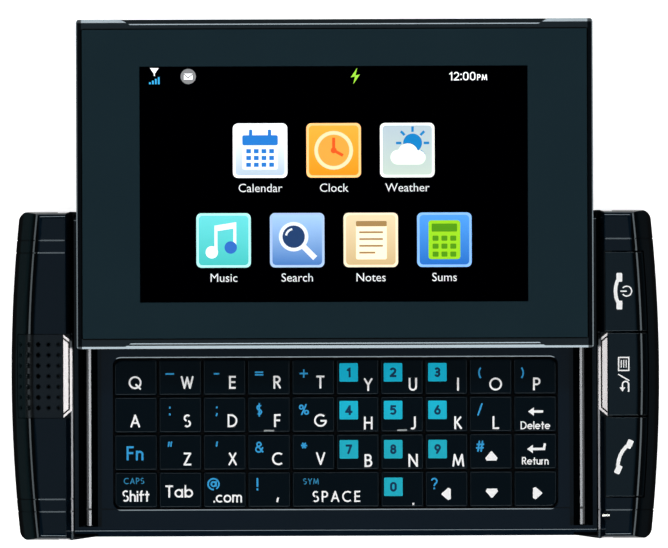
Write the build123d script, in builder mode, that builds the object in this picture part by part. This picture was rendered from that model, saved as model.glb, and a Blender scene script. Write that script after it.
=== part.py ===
"""Slider phone: a base with a four-row keyboard and a display slab that slides up over it.

The phone lies on its back. +Z is its thickness, +X runs along its length and +Y is the way the slab
slides to open. The origin is the centre of the base's back face. Sizes are in millimetres. The slab
is modelled open, at the end of its travel.
"""

import os

from build123d import *

os.makedirs("parts", exist_ok=True)

# ---- driving dimensions -------------------------------------------------------------------------

# keyboard
key_rows = (
    (("q", 1), ("w", 1), ("e", 1), ("r", 1), ("t", 1), ("y", 1), ("u", 1), ("i", 1), ("o", 1), ("p", 1)),
    (("a", 1), ("s", 1), ("d", 1), ("f", 1), ("g", 1), ("h", 1), ("j", 1), ("k", 1), ("l", 1), ("delete", 1)),
    (("fn", 1), ("z", 1), ("x", 1), ("c", 1), ("v", 1), ("b", 1), ("n", 1), ("m", 1), ("up", 1), ("return", 1)),
    (("shift", 1), ("tab", 1), ("dot_com", 1), ("comma", 1), ("space", 2), ("period", 1), ("left", 1),
     ("down", 1), ("right", 1)),
)
key_pitch_x = 7.54
key_pitch_y = 6.37
key_gap = 0.3
key_cap_thickness = 0.9
key_edge_radius = 0.35
key_corner_radius = 0.3
key_travel = 0.3
key_rest_clearance = 0.05
key_post_radius = 1.2
key_post_length = 0.45
key_proud = 0.4
keypad_corner_radius = 1.4

# base, in plan
base_depth = 55.8
bar_width = 10.4
end_bow = 1.5
bow_sweep = 7.0
base_corner_radius = 1.8
deck_setback = 0.5
setback_run = 3.5
keypad_front_margin = 5.1
keypad_side_margin = 1.95

# base, in height
housing_wall = 1.2
housing_floor = 1.2
housing_edge_radius = 1.8
deck_thickness = 0.8
deck_edge_run = 1.1
deck_edge_fall = 0.6
deck_edge_radius = 0.6
bay_wall = 1.0
bay_ceiling = 0.6
board_thickness = 0.8
mat_thickness = 0.4
mat_boss_height = 0.3
mat_boss_radius = 1.5
seat_gap = 0.1
bevel_slope = 0.45
opening_bevel = 0.17

# end bars
bar_below_slab = 0.8
bevel_run = 2.75
bevel_rise = 3.8
bar_end_run = 0.3
bar_end_radius = 1.0
bar_inner_run = 1.1
ridge_radius = 2.8
inner_edge_radius = 0.25
foot_width = 0.3
pocket_depth = 3.0
shelf_thickness = 0.8
groove_width = 0.18
groove_depth = 0.2
score_half_width = 0.1
outer_groove_inset = 4.9
front_key_bank_inset = 7.0
menu_key_half = 7.15
front_key_travel = 0.35
front_key_edge_inset = 2.0
front_key_edge_radius = 0.15
front_key_clearance = 0.2
strip_chamfer = 1.2
strip_inset = 0.05
strip_width = 1.45
strip_lip_width = 0.36
strip_groove_width = 0.26
strip_groove_depth = 0.6
grille_edge_inset = 1.0
grille_hole_radius = 0.25
grille_sink_radius = 0.45
grille_pitch_x = 1.7
grille_pitch_y = 1.79
grille_rows = 7
grille_columns = 3
grille_first_column = 0.72
grille_slope_column = 1.22
eyelet_length = 1.3
eyelet_width = 1.5
eyelet_depth = 1.0
eyelet_pin_radius = 0.25
eyelet_inset = 4.0

# slide
slab_side_gap = 0.8
bar_deck_gap = 0.2
slab_key_clearance = 0.4
open_gap = 1.6
channel_depth = 1.4
channel_wall = 0.8
rail_offset = 1.75
channel_end_wall = 0.4
rail_web = 0.3
rail_width = 0.8
rail_bevel = 0.38
rail_notch_width = 0.35
rail_notch_depth = 0.25
guide_step_gap = 0.35
guide_step_bevel = 0.2
rail_flange = 0.4
rail_foot = 0.4
rail_end_gap = 0.2
slide_clearance = 0.3
slide_plate_thickness = 0.6
slide_plate_depth = 36.0
runner_lip_thickness = 0.4
runner_lip_reach = 0.35
plate_edge_margin = 1.0

# slab
slab_corner_radius = 0.5
slab_floor = 0.8
slab_near_bevel = 0.35
slab_far_bevel = 0.55
slab_end_bevel = 0.2
bevel_overrun = 1.0
panel_end_clearance = 6.0
panel_side_clearance = 2.4
panel_thickness = 3.0
panel_gap = 0.3
window_gap = 0.2
window_thickness = 0.9
window_side_inset = 0.8
window_long_inset = 1.5
window_corner_radius = 0.4
window_fit = 0.08
window_ledge = 1.5
scoop_end_margin = 7.6
scoop_run = 1.6
scoop_bite = 0.92
scoop_lip_bevel = 0.16
scoop_floor_slope_width = 0.5
near_scoop_drop = 0.35
far_scoop_drop = 1.6

# battery and its door
battery_length = 54.0
battery_width = 34.0
battery_thickness = 4.5
battery_x = 6.0
battery_radius = 1.5
battery_edge_radius = 0.3
bay_clearance = 0.5
door_thickness = 1.0
door_overlap = 3.0
door_radius = 3.0
door_clearance = 0.12
door_ledge = 0.8
door_frame = 1.0
door_grip_count = 5
door_grip_pitch = 1.2
door_grip_length = 12.0
door_grip_depth = 0.25

# camera, earpiece, socket and screws
camera_inset_x = 15.5
camera_inset_y = 13.9
camera_radius = 3.4
camera_base = 8.4
camera_base_height = 2.6
camera_lens_recess = 0.2
camera_hood_radius = 2.45
camera_throat_radius = 1.36
camera_hole_clearance = 0.15
earpiece_length = 12.0
earpiece_width = 7.0
earpiece_thickness = 2.2
sound_slot_length = 8.0
sound_slot_width = 1.0
sound_slot_pitch = 1.7
socket_width = 7.5
socket_height = 2.7
socket_depth = 5.2
socket_wall = 0.3
socket_tongue_width = 4.5
socket_clearance = 0.3
socket_inset = 8.0
can_length = 12.0
can_depth = 26.0
can_height = 1.8
can_inset_y = 1.0
can_gap = 0.4
screw_inset_x = 5.6
screw_inset_y = 4.9
screw_head_radius = 1.5
screw_head_height = 1.0
screw_head_recess = 0.3
screw_shank_radius = 0.7
screw_bite = 2.0
screw_boss_wall = 0.9
screw_clearance = 0.08
screw_slot_length = 2.1
screw_slot_width = 0.4
screw_slot_depth = 0.45

# ---- heights, from the back face up -------------------------------------------------------------

door_pocket = door_thickness + seat_gap
ledge_top = door_pocket + door_ledge
battery_bottom = door_pocket + seat_gap
battery_top = battery_bottom + battery_thickness
bay_top = battery_top + 2 * seat_gap
board_bottom = bay_top + bay_ceiling + seat_gap
board_top = board_bottom + board_thickness
mat_top = board_top + mat_thickness
boss_top = mat_top + mat_boss_height
key_post_bottom = boss_top + key_travel + key_rest_clearance
key_underside = key_post_bottom + key_post_length
key_top = key_underside + key_cap_thickness
deck_top = key_top - key_proud
seam_height = deck_top - deck_thickness
slab_bottom = key_top + slab_key_clearance
frame_bottom = slab_bottom + slide_plate_thickness
panel_bottom = frame_bottom + slab_floor + panel_gap
panel_top = panel_bottom + panel_thickness
window_bottom = panel_top + window_gap
slab_top = window_bottom + window_thickness
bar_top = slab_top - bar_below_slab
bevel_bottom = bar_top - bevel_rise
pocket_floor = bar_top - pocket_depth
shelf_bottom = pocket_floor - shelf_thickness
front_key_bottom = pocket_floor + front_key_travel + key_rest_clearance
channel_floor = deck_top - channel_depth
tub_bottom = channel_floor - channel_wall
rail_top = slab_bottom - slide_clearance
flange_bottom = rail_top - rail_flange
lip_top = flange_bottom - slide_clearance
lip_bottom = lip_top - runner_lip_thickness
guide_step_top = lip_bottom - slide_clearance

# ---- distances along the length and depth ------------------------------------------------------

key_columns = sum(units for _, units in key_rows[0])
keypad_length = key_columns * key_pitch_x
keypad_depth = len(key_rows) * key_pitch_y
opening_length = keypad_length + key_gap
opening_depth = keypad_depth + key_gap
opening_y = keypad_front_margin + opening_depth / 2 - base_depth / 2
opening_top_y = opening_y + opening_depth / 2
opening_bottom_y = opening_y - opening_depth / 2
channel_inner = opening_length / 2 + keypad_side_margin
tub_inner = channel_inner - channel_wall
rail_inner = channel_inner + rail_offset
rail_outer = rail_inner + rail_width
runner_inner = rail_outer + slide_clearance + seat_gap / 2
runner_outer = runner_inner + slide_plate_thickness
channel_outer = runner_outer + slide_clearance + seat_gap
guide_step_x = rail_outer + guide_step_gap
bar_inner = channel_outer + slab_side_gap + seat_gap
deck_half_length = bar_inner - bar_deck_gap
slab_half_length = bar_inner - slab_side_gap
base_half_length = bar_inner + bar_width
bow_radius = ((base_depth / 2) ** 2 + end_bow ** 2) / (2 * end_bow)
bow_centre_x = base_half_length - bow_radius
slab_depth = base_depth
travel = opening_top_y + open_gap + base_depth / 2
deck_half_depth = base_depth / 2 - deck_setback
tub_half_depth = deck_half_depth - housing_wall - seat_gap
channel_half_depth = tub_half_depth - channel_end_wall
runner_top_y = channel_half_depth - slide_clearance
runner_length = 2 * runner_top_y - travel
outer_groove_y = base_depth / 2 - outer_groove_inset
flat_inner = bar_inner + bar_inner_run
flat_outer = base_half_length - end_bow - bevel_run
front_key_bank = base_depth / 2 - front_key_bank_inset
eyelet_y = eyelet_inset - base_depth / 2
camera_x = camera_inset_x - base_half_length
camera_y = base_depth / 2 - camera_inset_y
scoop_half_length = slab_half_length - scoop_end_margin
slab_low_y = travel - slab_depth / 2
slab_high_y = travel + slab_depth / 2
window_length = 2 * (slab_half_length - window_side_inset)
window_depth = slab_depth - 2 * window_long_inset
well_length = window_length - 2 * window_ledge
well_depth = window_depth - 2 * window_ledge
panel_length = well_length - 2 * panel_end_clearance
panel_depth = well_depth - 2 * panel_side_clearance
battery_y = 0.0
bay_length = battery_length + 2 * bay_clearance
bay_width = battery_width + 2 * bay_clearance
door_length = bay_length + 2 * door_overlap
door_width = bay_width + 2 * door_overlap
board_length = 2 * (tub_inner - 2 * slide_clearance)
board_depth = 2 * (base_depth / 2 - deck_setback - housing_wall - 2 * slide_clearance)
socket_x = socket_inset - board_length / 2
strip_inner = bar_inner + strip_inset
strip_outer = strip_inner + strip_width
patch_inner = strip_outer + seat_gap
key_bank_inner = bar_inner + bar_inner_run + seat_gap


# ---- shared outlines ----------------------------------------------------------------------------


def outer_corners(sketch, inner_limit):
    """The sketch's corner points at the phone's ends."""
    return [v for v in sketch.vertices() if abs(v.X) > inner_limit]


def base_outline(end_inset, side_inset):
    """The base in plan: bowed ends, and long sides that step in a little along the deck."""
    end_x = base_half_length - end_inset
    corner_x = end_x - end_bow
    bar_y = base_depth / 2 - side_inset
    deck_y = bar_y - deck_setback
    step_out = deck_half_length
    step_in = step_out - setback_run
    with BuildSketch() as outline:
        with BuildLine():
            ThreePointArc((corner_x, -bar_y), (end_x, 0), (corner_x, bar_y))
            Polyline(
                (corner_x, bar_y), (step_out, bar_y), (step_in, deck_y),
                (-step_in, deck_y), (-step_out, bar_y), (-corner_x, bar_y),
            )
            ThreePointArc((-corner_x, bar_y), (-end_x, 0), (-corner_x, -bar_y))
            Polyline(
                (-corner_x, -bar_y), (-step_out, -bar_y), (-step_in, -deck_y),
                (step_in, -deck_y), (step_out, -bar_y), (corner_x, -bar_y),
            )
        make_face()
        fillet(outer_corners(outline, bar_inner + bar_width / 2), base_corner_radius)
    return outline.sketch


def end_outline(end_inset, side_inset, inner_x):
    """The right-hand end in plan, from inner_x out to the bowed edge less end_inset."""
    end_x = base_half_length - end_inset
    corner_x = end_x - end_bow
    side_y = base_depth / 2 - side_inset
    with BuildSketch() as outline:
        with BuildLine():
            ThreePointArc((corner_x, -side_y), (end_x, 0), (corner_x, side_y))
            Polyline((corner_x, side_y), (inner_x, side_y), (inner_x, -side_y), (corner_x, -side_y))
        make_face()
        fillet(outer_corners(outline, (inner_x + corner_x) / 2), base_corner_radius)
    return outline.sketch


def end_block(inset=0.0):
    """The solid form of the right-hand end bar, drawn in all round by inset.

    It is the end's outline, cut by three sections: one turned about the bow's centre, with the outer
    slope and its rolled ridge; one run along the inner side, with its foot; and one across both ends.
    """
    top = bar_top - inset
    inner_x = bar_inner + inset
    slope_x = base_half_length - inset - bow_centre_x
    side_y = base_depth / 2 - inset
    foot_bottom = bevel_bottom - foot_width * bevel_slope
    start = Plane(
        origin=(bow_centre_x, 0, 0), x_dir=Vector(1, 0, 0).rotate(Axis.Z, -bow_sweep),
        z_dir=Vector(0, -1, 0).rotate(Axis.Z, -bow_sweep),
    )
    with BuildPart() as block:
        with BuildSketch(Plane.XY.offset(seam_height)):
            add(end_outline(inset, inset, inner_x))
        extrude(amount=bar_top)
        with BuildSketch(start) as outer_section:
            with BuildLine():
                Polyline(
                    (bar_inner - bow_centre_x - bar_width, 0), (slope_x + bevel_run, 0),
                    (slope_x + bevel_run, bevel_bottom - bevel_rise), (slope_x - bevel_run, top),
                    (bar_inner - bow_centre_x - bar_width, top), close=True,
                )
            make_face()
            fillet(outer_section.vertices().group_by(Axis.Y)[-1].sort_by(Axis.X)[-1], ridge_radius - inset)
        revolve(
            axis=Axis((bow_centre_x, 0, 0), (0, 0, 1)), revolution_arc=2 * bow_sweep, mode=Mode.INTERSECT
        )
        with BuildSketch(Plane.XZ.offset(-base_depth)) as inner_section:
            with BuildLine():
                Polyline(
                    (inner_x, 0), (inner_x, foot_bottom), (inner_x + foot_width, bevel_bottom),
                    (flat_inner + inset, top), (inner_x + 2 * bar_width, top), (inner_x + 2 * bar_width, 0),
                    close=True,
                )
            make_face()
            fillet(inner_section.vertices().group_by(Axis.Y)[-1].sort_by(Axis.X)[0], inner_edge_radius)
        extrude(amount=2 * base_depth, mode=Mode.INTERSECT)
        with BuildSketch(Plane.YZ) as across:
            with BuildLine():
                Polyline(
                    (-side_y - bar_end_run, 0), (-side_y - bar_end_run, bevel_bottom - bevel_rise),
                    (bar_end_run - side_y, top), (side_y - bar_end_run, top),
                    (side_y + bar_end_run, bevel_bottom - bevel_rise), (side_y + bar_end_run, 0), close=True,
                )
            make_face()
            fillet(across.vertices().group_by(Axis.Y)[-1], bar_end_radius)
        extrude(amount=2 * base_half_length, mode=Mode.INTERSECT)
    return block.part


def bar_grooves(rows):
    """Cutters that score the bar across its width at each Y in rows.

    The line is a fine slot down both slopes and an open V across the flat top.
    """
    with BuildPart() as cutter:
        with BuildSketch(Plane.XY.offset(seam_height)):
            for y in rows:
                with Locations((flat_inner, y)):
                    Rectangle(bar_width, groove_width, align=(Align.MAX, Align.CENTER))
                with Locations((flat_outer, y)):
                    Rectangle(bar_width, groove_width, align=(Align.MIN, Align.CENTER))
        extrude(amount=bar_top)
        add(end_block(groove_depth), mode=Mode.SUBTRACT)
    score_depth = score_half_width * bevel_slope
    with BuildPart() as scores:
        for y in rows:
            with BuildSketch(Plane.YZ.offset(flat_inner - seat_gap)):
                with BuildLine():
                    Polyline(
                        (y - 2 * score_half_width, bar_top + score_depth), (y, bar_top - score_depth),
                        (y + 2 * score_half_width, bar_top + score_depth), close=True,
                    )
                make_face()
            extrude(amount=bar_width)
    return [cutter.part, scores.part]


def save(piece, name):
    """Labels a finished piece and writes its file."""
    piece.label = name
    export_step(piece, f"parts/{name}.step")


screw_x = base_half_length - screw_inset_x
screw_y = base_depth / 2 - screw_inset_y
screw_places = [(x, y) for x in (-screw_x, screw_x) for y in (-screw_y, screw_y)]
screw_boss_radius = screw_head_radius + screw_clearance + screw_boss_wall
screw_tip = seam_height + screw_bite

# ---- rear housing -------------------------------------------------------------------------------

with BuildPart() as rear_housing:
    with BuildSketch():
        add(base_outline(0, 0))
    extrude(amount=seam_height)
    fillet(rear_housing.edges().group_by(Axis.Z)[0], housing_edge_radius)
    with BuildSketch(Plane.XY.offset(housing_floor)):
        add(base_outline(housing_wall, housing_wall))
    extrude(amount=seam_height, mode=Mode.SUBTRACT)
    # the door's frame and the battery's tub stand on the floor
    with BuildSketch():
        with Locations((battery_x, battery_y)):
            RectangleRounded(door_length + 2 * door_frame, door_width + 2 * door_frame, door_radius + door_frame)
    extrude(amount=ledge_top)
    with BuildSketch():
        with Locations((battery_x, battery_y)):
            RectangleRounded(bay_length + 2 * bay_wall, bay_width + 2 * bay_wall, battery_radius + bay_wall)
    extrude(amount=bay_top + bay_ceiling)
    with BuildSketch():
        with Locations((battery_x, battery_y)):
            RectangleRounded(door_length, door_width, door_radius)
    extrude(amount=door_pocket, mode=Mode.SUBTRACT)
    with BuildSketch():
        with Locations((battery_x, battery_y)):
            RectangleRounded(bay_length, bay_width, battery_radius)
    extrude(amount=bay_top, mode=Mode.SUBTRACT)
    # screw bosses, counterbored from the back
    with BuildSketch(Plane.XY.offset(housing_floor / 2)):
        with Locations(*screw_places):
            Circle(screw_boss_radius)
    extrude(amount=seam_height - seat_gap - housing_floor / 2)
    with Locations(*[(x, y, 0) for x, y in screw_places]):
        Cylinder(
            screw_head_radius + screw_clearance, screw_head_recess + screw_head_height,
            align=(Align.CENTER, Align.CENTER, Align.MIN), mode=Mode.SUBTRACT,
        )
        Cylinder(
            screw_shank_radius + screw_clearance, seam_height,
            align=(Align.CENTER, Align.CENTER, Align.MIN), mode=Mode.SUBTRACT,
        )
    # the camera looks out through the floor
    with BuildSketch():
        with Locations((camera_x, camera_y)):
            Circle(camera_radius + camera_hole_clearance)
    extrude(amount=housing_floor, mode=Mode.SUBTRACT)
    # the charging socket opens through the long side that the slab rides over
    with Locations((socket_x, base_depth / 2, board_bottom - socket_height / 2)):
        Box(
            socket_width + 2 * socket_clearance, 2 * (housing_wall + deck_setback + socket_clearance),
            socket_height + 2 * socket_clearance, mode=Mode.SUBTRACT,
        )
save(rear_housing.part, "rear_housing")

# ---- battery, its door and the screws -----------------------------------------------------------

with BuildPart() as battery:
    with BuildSketch(Plane.XY.offset(battery_bottom)):
        with Locations((battery_x, battery_y)):
            RectangleRounded(battery_length, battery_width, battery_radius)
    extrude(amount=battery_thickness)
    fillet(battery.edges().filter_by(Plane.XY), battery_edge_radius)
save(battery.part, "battery")

with BuildPart() as battery_door:
    with BuildSketch():
        with Locations((battery_x, battery_y)):
            RectangleRounded(
                door_length - 2 * door_clearance, door_width - 2 * door_clearance, door_radius - door_clearance
            )
    extrude(amount=door_thickness)
    chamfer(battery_door.edges().group_by(Axis.Z)[0], door_grip_depth)
    # finger grips scored into the outer face beside one end
    grip_x = battery_x + door_length / 2 - door_grip_count * door_grip_pitch
    with BuildSketch():
        with Locations((grip_x, battery_y)):
            with GridLocations(door_grip_pitch, 0, door_grip_count, 1):
                SlotOverall(door_grip_length, door_grip_pitch / 2, rotation=90)
    extrude(amount=door_grip_depth, mode=Mode.SUBTRACT)
save(battery_door.part, "battery_door")

with BuildPart() as housing_screws:
    with BuildSketch(Plane.XY.offset(screw_head_recess)):
        with Locations(*screw_places):
            Circle(screw_head_radius)
    extrude(amount=screw_head_height)
    with BuildSketch(Plane.XY.offset(screw_head_recess)):
        with Locations(*screw_places):
            Circle(screw_shank_radius)
    extrude(amount=screw_tip - screw_head_recess)
    with BuildSketch(Plane.XY.offset(screw_head_recess)):
        with Locations(*screw_places):
            Rectangle(screw_slot_length, screw_slot_width)
            Rectangle(screw_slot_width, screw_slot_length)
    extrude(amount=screw_slot_depth, mode=Mode.SUBTRACT)
save(housing_screws.part, "housing_screws")

# ---- camera module ------------------------------------------------------------------------------

with BuildPart() as camera_module:
    with BuildSketch(Plane.XY.offset(camera_lens_recess)):
        with Locations((camera_x, camera_y)):
            Circle(camera_radius)
    extrude(amount=board_bottom - camera_base_height - camera_lens_recess)
    with BuildSketch(Plane.XY.offset(board_bottom - camera_base_height)):
        with Locations((camera_x, camera_y)):
            RectangleRounded(camera_base, camera_base, key_corner_radius)
    extrude(amount=camera_base_height - seat_gap)
    # a stepped hood round a recessed lens
    with BuildSketch(Plane.XY.offset(camera_lens_recess)):
        with Locations((camera_x, camera_y)):
            Circle(camera_hood_radius)
    extrude(amount=camera_lens_recess * 2, mode=Mode.SUBTRACT)
    with BuildSketch(Plane.XY.offset(camera_lens_recess * 3)):
        with Locations((camera_x, camera_y)):
            Circle(camera_throat_radius)
    extrude(amount=camera_lens_recess * 2, mode=Mode.SUBTRACT)
save(camera_module.part, "camera_module")

# ---- main board ---------------------------------------------------------------------------------

socket_mouth_y = base_depth / 2 - deck_setback - housing_wall - socket_clearance
tub_left = battery_x - bay_length / 2 - bay_wall
can_x = tub_left - can_gap - can_length / 2
can_y = can_inset_y + (can_depth - board_depth) / 2

with BuildPart() as main_board:
    with BuildSketch(Plane.XY.offset(board_bottom)):
        RectangleRounded(board_length, board_depth, base_corner_radius)
    extrude(amount=board_thickness)
    # a screening can hangs from the board beside the battery's tub
    with BuildSketch(Plane.XY.offset(board_bottom - can_height)):
        with Locations((can_x, can_y)):
            RectangleRounded(can_length, can_depth, key_corner_radius)
    extrude(amount=can_height)
    # the charging socket: a folded steel shell round a contact tongue
    with BuildSketch(Plane.XY.offset(board_bottom - socket_height)):
        with Locations((socket_x, socket_mouth_y - socket_depth / 2)):
            Rectangle(socket_width, socket_depth)
    extrude(amount=socket_height)
    with Locations((socket_x, socket_mouth_y, board_bottom - socket_height / 2)):
        Box(
            socket_width - 2 * socket_wall, 2 * (socket_depth - 2 * socket_wall),
            socket_height - 2 * socket_wall, mode=Mode.SUBTRACT,
        )
        Box(
            socket_tongue_width, 2 * socket_depth, 2 * socket_wall,
            align=(Align.CENTER, Align.MAX, Align.CENTER),
        )
save(main_board.part, "main_board")

# ---- keypad mat and the keyboard's keys ---------------------------------------------------------


def key_places():
    """Each key's name, centre, size and whether it stands at an end of the first or last row."""
    for row, keys in enumerate(key_rows):
        column = 0
        y = opening_y + keypad_depth / 2 - (row + 0.5) * key_pitch_y
        for name, units in keys:
            x = (column + units / 2) * key_pitch_x - keypad_length / 2
            left_end = column == 0
            right_end = column + units == key_columns
            column += units
            corner = ""
            if row in (0, len(key_rows) - 1) and (left_end or right_end):
                corner = ("top" if row == 0 else "bottom") + ("_left" if left_end else "_right")
            yield name, x, y, units * key_pitch_x - key_gap, key_pitch_y - key_gap, corner


with BuildPart() as keypad_mat:
    with BuildSketch(Plane.XY.offset(board_top)):
        with Locations((0, opening_y)):
            RectangleRounded(opening_length + key_gap, opening_depth + key_gap, keypad_corner_radius)
    extrude(amount=mat_thickness)
    with BuildSketch(Plane.XY.offset(mat_top)):
        with Locations(*[(x, y) for _, x, y, _, _, _ in key_places()]):
            Circle(mat_boss_radius)
    extrude(amount=mat_boss_height)
save(keypad_mat.part, "keypad_mat")


def uprights(key, corner, x, y):
    """A key's upright edges, with the one in the opening's corner last."""
    side = -1 if corner.endswith("left") else 1
    end = 1 if corner.startswith("top") else -1
    return key.edges().filter_by(Axis.Z).sort_by(
        lambda edge: side * (edge.center().X - x) + end * (edge.center().Y - y)
    )


for name, x, y, length, depth, corner in key_places():
    with BuildPart() as key:
        with BuildSketch(Plane.XY.offset(key_underside)):
            with Locations((x, y)):
                Rectangle(length, depth)
        extrude(amount=key_cap_thickness)
        if corner:
            fillet(uprights(key, corner, x, y)[-1], keypad_corner_radius - key_gap / 2)
            fillet(uprights(key, corner, x, y)[:3], key_corner_radius)
        else:
            fillet(key.edges().filter_by(Axis.Z), key_corner_radius)
        fillet(key.edges().group_by(Axis.Z)[-1], key_edge_radius)
        with BuildSketch(Plane.XY.offset(key_post_bottom)):
            with Locations((x, y)):
                Circle(key_post_radius)
        extrude(amount=key_post_length)
    save(key.part, f"key_{name}")

# ---- keyboard deck ------------------------------------------------------------------------------

with BuildPart() as keyboard_deck:
    # a plate whose long edges slope down and are rolled over
    with BuildSketch(Plane.YZ):
        with BuildLine():
            Polyline(
                (-deck_half_depth, seam_height), (-deck_half_depth, deck_top - deck_edge_fall),
                (deck_edge_run - deck_half_depth, deck_top), (deck_half_depth - deck_edge_run, deck_top),
                (deck_half_depth, deck_top - deck_edge_fall), (deck_half_depth, seam_height), close=True,
            )
        make_face()
    extrude(amount=deck_half_length, both=True)
    fillet(keyboard_deck.edges().group_by(Axis.Z)[-1].filter_by(Axis.X), deck_edge_radius)
    # a sunk channel beside each end of the keyboard carries a rail
    with BuildSketch(Plane.XY.offset(tub_bottom)):
        with GridLocations(tub_inner + deck_half_length, 0, 2, 1):
            Rectangle(deck_half_length - tub_inner, 2 * tub_half_depth)
    extrude(amount=seam_height - tub_bottom)
    with BuildSketch(Plane.XY.offset(channel_floor)):
        with GridLocations(channel_inner + channel_outer, 0, 2, 1):
            Rectangle(channel_outer - channel_inner, 2 * channel_half_depth)
    extrude(amount=channel_depth, mode=Mode.SUBTRACT)
    # a low step along the channel's outer side, under the runner's path
    for side in (-1, 1):
        with BuildSketch(Plane.XZ.offset(-channel_half_depth)):
            with BuildLine():
                Polyline(
                    (side * guide_step_x, channel_floor),
                    (side * guide_step_x, guide_step_top - guide_step_bevel * bevel_slope),
                    (side * (guide_step_x + guide_step_bevel), guide_step_top),
                    (side * channel_outer, guide_step_top), (side * channel_outer, channel_floor), close=True,
                )
            make_face()
        extrude(amount=2 * channel_half_depth)
    with BuildSketch(Plane.XY.offset(tub_bottom)):
        with Locations((0, opening_y)):
            RectangleRounded(opening_length, opening_depth, keypad_corner_radius)
    extrude(amount=deck_top, mode=Mode.SUBTRACT)
    # the opening's long edges are bevelled
    with BuildSketch(Plane.XY.offset(deck_top - opening_bevel * bevel_slope)):
        with Locations((0, opening_y)):
            RectangleRounded(opening_length, opening_depth, keypad_corner_radius)
    with BuildSketch(Plane.XY.offset(deck_top)):
        with Locations((0, opening_y)):
            RectangleRounded(opening_length, opening_depth + 2 * opening_bevel, keypad_corner_radius)
    loft(mode=Mode.SUBTRACT)
    # a scored line runs out from the keyboard's front edge to both ends
    with BuildSketch(Plane.XY.offset(deck_top - groove_depth)):
        with Locations((0, opening_bottom_y + groove_width / 2)):
            Rectangle(2 * deck_half_length, groove_width)
    extrude(amount=groove_depth, mode=Mode.SUBTRACT)
save(keyboard_deck.part, "keyboard_deck")

# ---- slide rails --------------------------------------------------------------------------------

with BuildPart() as slide_rails:
    with BuildSketch(Plane.XZ):
        with BuildLine():
            Polyline(
                (rail_inner, channel_floor), (rail_outer, channel_floor),
                (rail_outer, channel_floor + rail_foot), (rail_inner + rail_web, channel_floor + rail_foot),
                (rail_inner + rail_web, flange_bottom), (rail_outer, flange_bottom),
                (rail_outer, rail_top), (rail_inner + rail_bevel, rail_top),
                (rail_inner, rail_top - rail_bevel * bevel_slope), close=True,
            )
        make_face()
    extrude(amount=channel_half_depth - rail_end_gap, both=True)
    fillet(slide_rails.edges().filter_by(Axis.Y).group_by(Axis.Z)[-1].sort_by(Axis.X)[-1], rail_flange / 3)
    # a notch across the flange, in line with the deck's scored line
    with BuildSketch(Plane.XY.offset(rail_top - rail_notch_depth)):
        with Locations((rail_inner + rail_width / 2, opening_bottom_y + groove_width / 2)):
            Rectangle(2 * rail_width, rail_notch_width)
    extrude(amount=rail_notch_depth, mode=Mode.SUBTRACT)
    mirror(about=Plane.YZ)
save(slide_rails.part, "slide_rails")

# ---- end covers ---------------------------------------------------------------------------------

strip_half = menu_key_half - seat_gap
pocket_half = front_key_bank + front_key_clearance - key_gap / 2


def band(edge_inset, inner_x, low_y, high_y):
    """Part of the end in plan: a band across it from low_y to high_y, and from inner_x outwards."""
    with BuildSketch() as outline:
        add(end_outline(edge_inset, 0, inner_x))
        with Locations((inner_x + bar_width / 2, (low_y + high_y) / 2)):
            Rectangle(2 * bar_width, high_y - low_y, mode=Mode.INTERSECT)
    return outline.sketch


def end_cover(pocket, groove_rows):
    """A right-hand end cover, open below, with a pocket sunk in its top and a notch for the trim."""
    with BuildPart() as cover:
        add(end_block())
        with BuildSketch(Plane.XY.offset(seam_height)):
            add(end_outline(housing_wall, housing_wall, bar_inner + housing_wall))
        extrude(amount=shelf_bottom - seam_height, mode=Mode.SUBTRACT)
        with BuildSketch(Plane.XY.offset(seam_height)):
            with Locations((screw_x, screw_y), (screw_x, -screw_y)):
                Circle(screw_shank_radius + screw_clearance + screw_boss_wall)
        extrude(amount=shelf_bottom - seam_height)
        with BuildSketch(Plane.XY.offset(seam_height)):
            with Locations((screw_x, screw_y), (screw_x, -screw_y)):
                Circle(screw_shank_radius + screw_clearance)
        extrude(amount=screw_bite + seat_gap, mode=Mode.SUBTRACT)
        with BuildSketch(Plane.XY.offset(pocket_floor)):
            add(pocket)
        extrude(amount=pocket_depth, mode=Mode.SUBTRACT)
        with BuildSketch(Plane.XY.offset(pocket_floor)):
            with Locations(((bar_inner + strip_outer - bar_deck_gap) / 2, 0)):
                Rectangle(strip_outer - bar_inner + bar_deck_gap, 2 * menu_key_half)
        extrude(amount=pocket_depth, mode=Mode.SUBTRACT)
        add(bar_grooves(groove_rows), mode=Mode.SUBTRACT)
    return cover.part


with BuildPart() as right_end_cover:
    add(end_cover(
        band(front_key_edge_inset - front_key_clearance, key_bank_inner - front_key_clearance,
             -pocket_half, pocket_half),
        (-outer_groove_y, outer_groove_y),
    ))
    # lanyard eyelet: a small well with a pin across it
    with BuildSketch(Plane.XY.offset(bar_top - eyelet_depth)):
        with Locations((key_bank_inner, eyelet_y)):
            Rectangle(eyelet_length, eyelet_width)
    extrude(amount=eyelet_depth, mode=Mode.SUBTRACT)
    with Locations((key_bank_inner, eyelet_y, bar_top - 2 * eyelet_pin_radius)):
        Cylinder(eyelet_pin_radius, eyelet_length, rotation=(0, 90, 0))
save(right_end_cover.part, "right_end_cover")

with BuildPart() as left_end_cover:
    add(end_cover(
        band(grille_edge_inset, strip_outer, -menu_key_half, menu_key_half),
        (-outer_groove_y, -front_key_bank, front_key_bank, outer_groove_y),
    ))
    # slots that let the earpiece's sound up to the grille
    with BuildSketch(Plane.XY.offset(shelf_bottom)):
        with Locations((bar_inner + bar_width / 2, 0)):
            with GridLocations(sound_slot_pitch, 0, 3, 1):
                SlotOverall(sound_slot_length, sound_slot_width, rotation=90)
    extrude(amount=shelf_thickness, mode=Mode.SUBTRACT)
save(mirror(left_end_cover.part, about=Plane.YZ, mode=Mode.PRIVATE), "left_end_cover")

# ---- earpiece grille, earpiece and trim strips --------------------------------------------------

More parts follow.
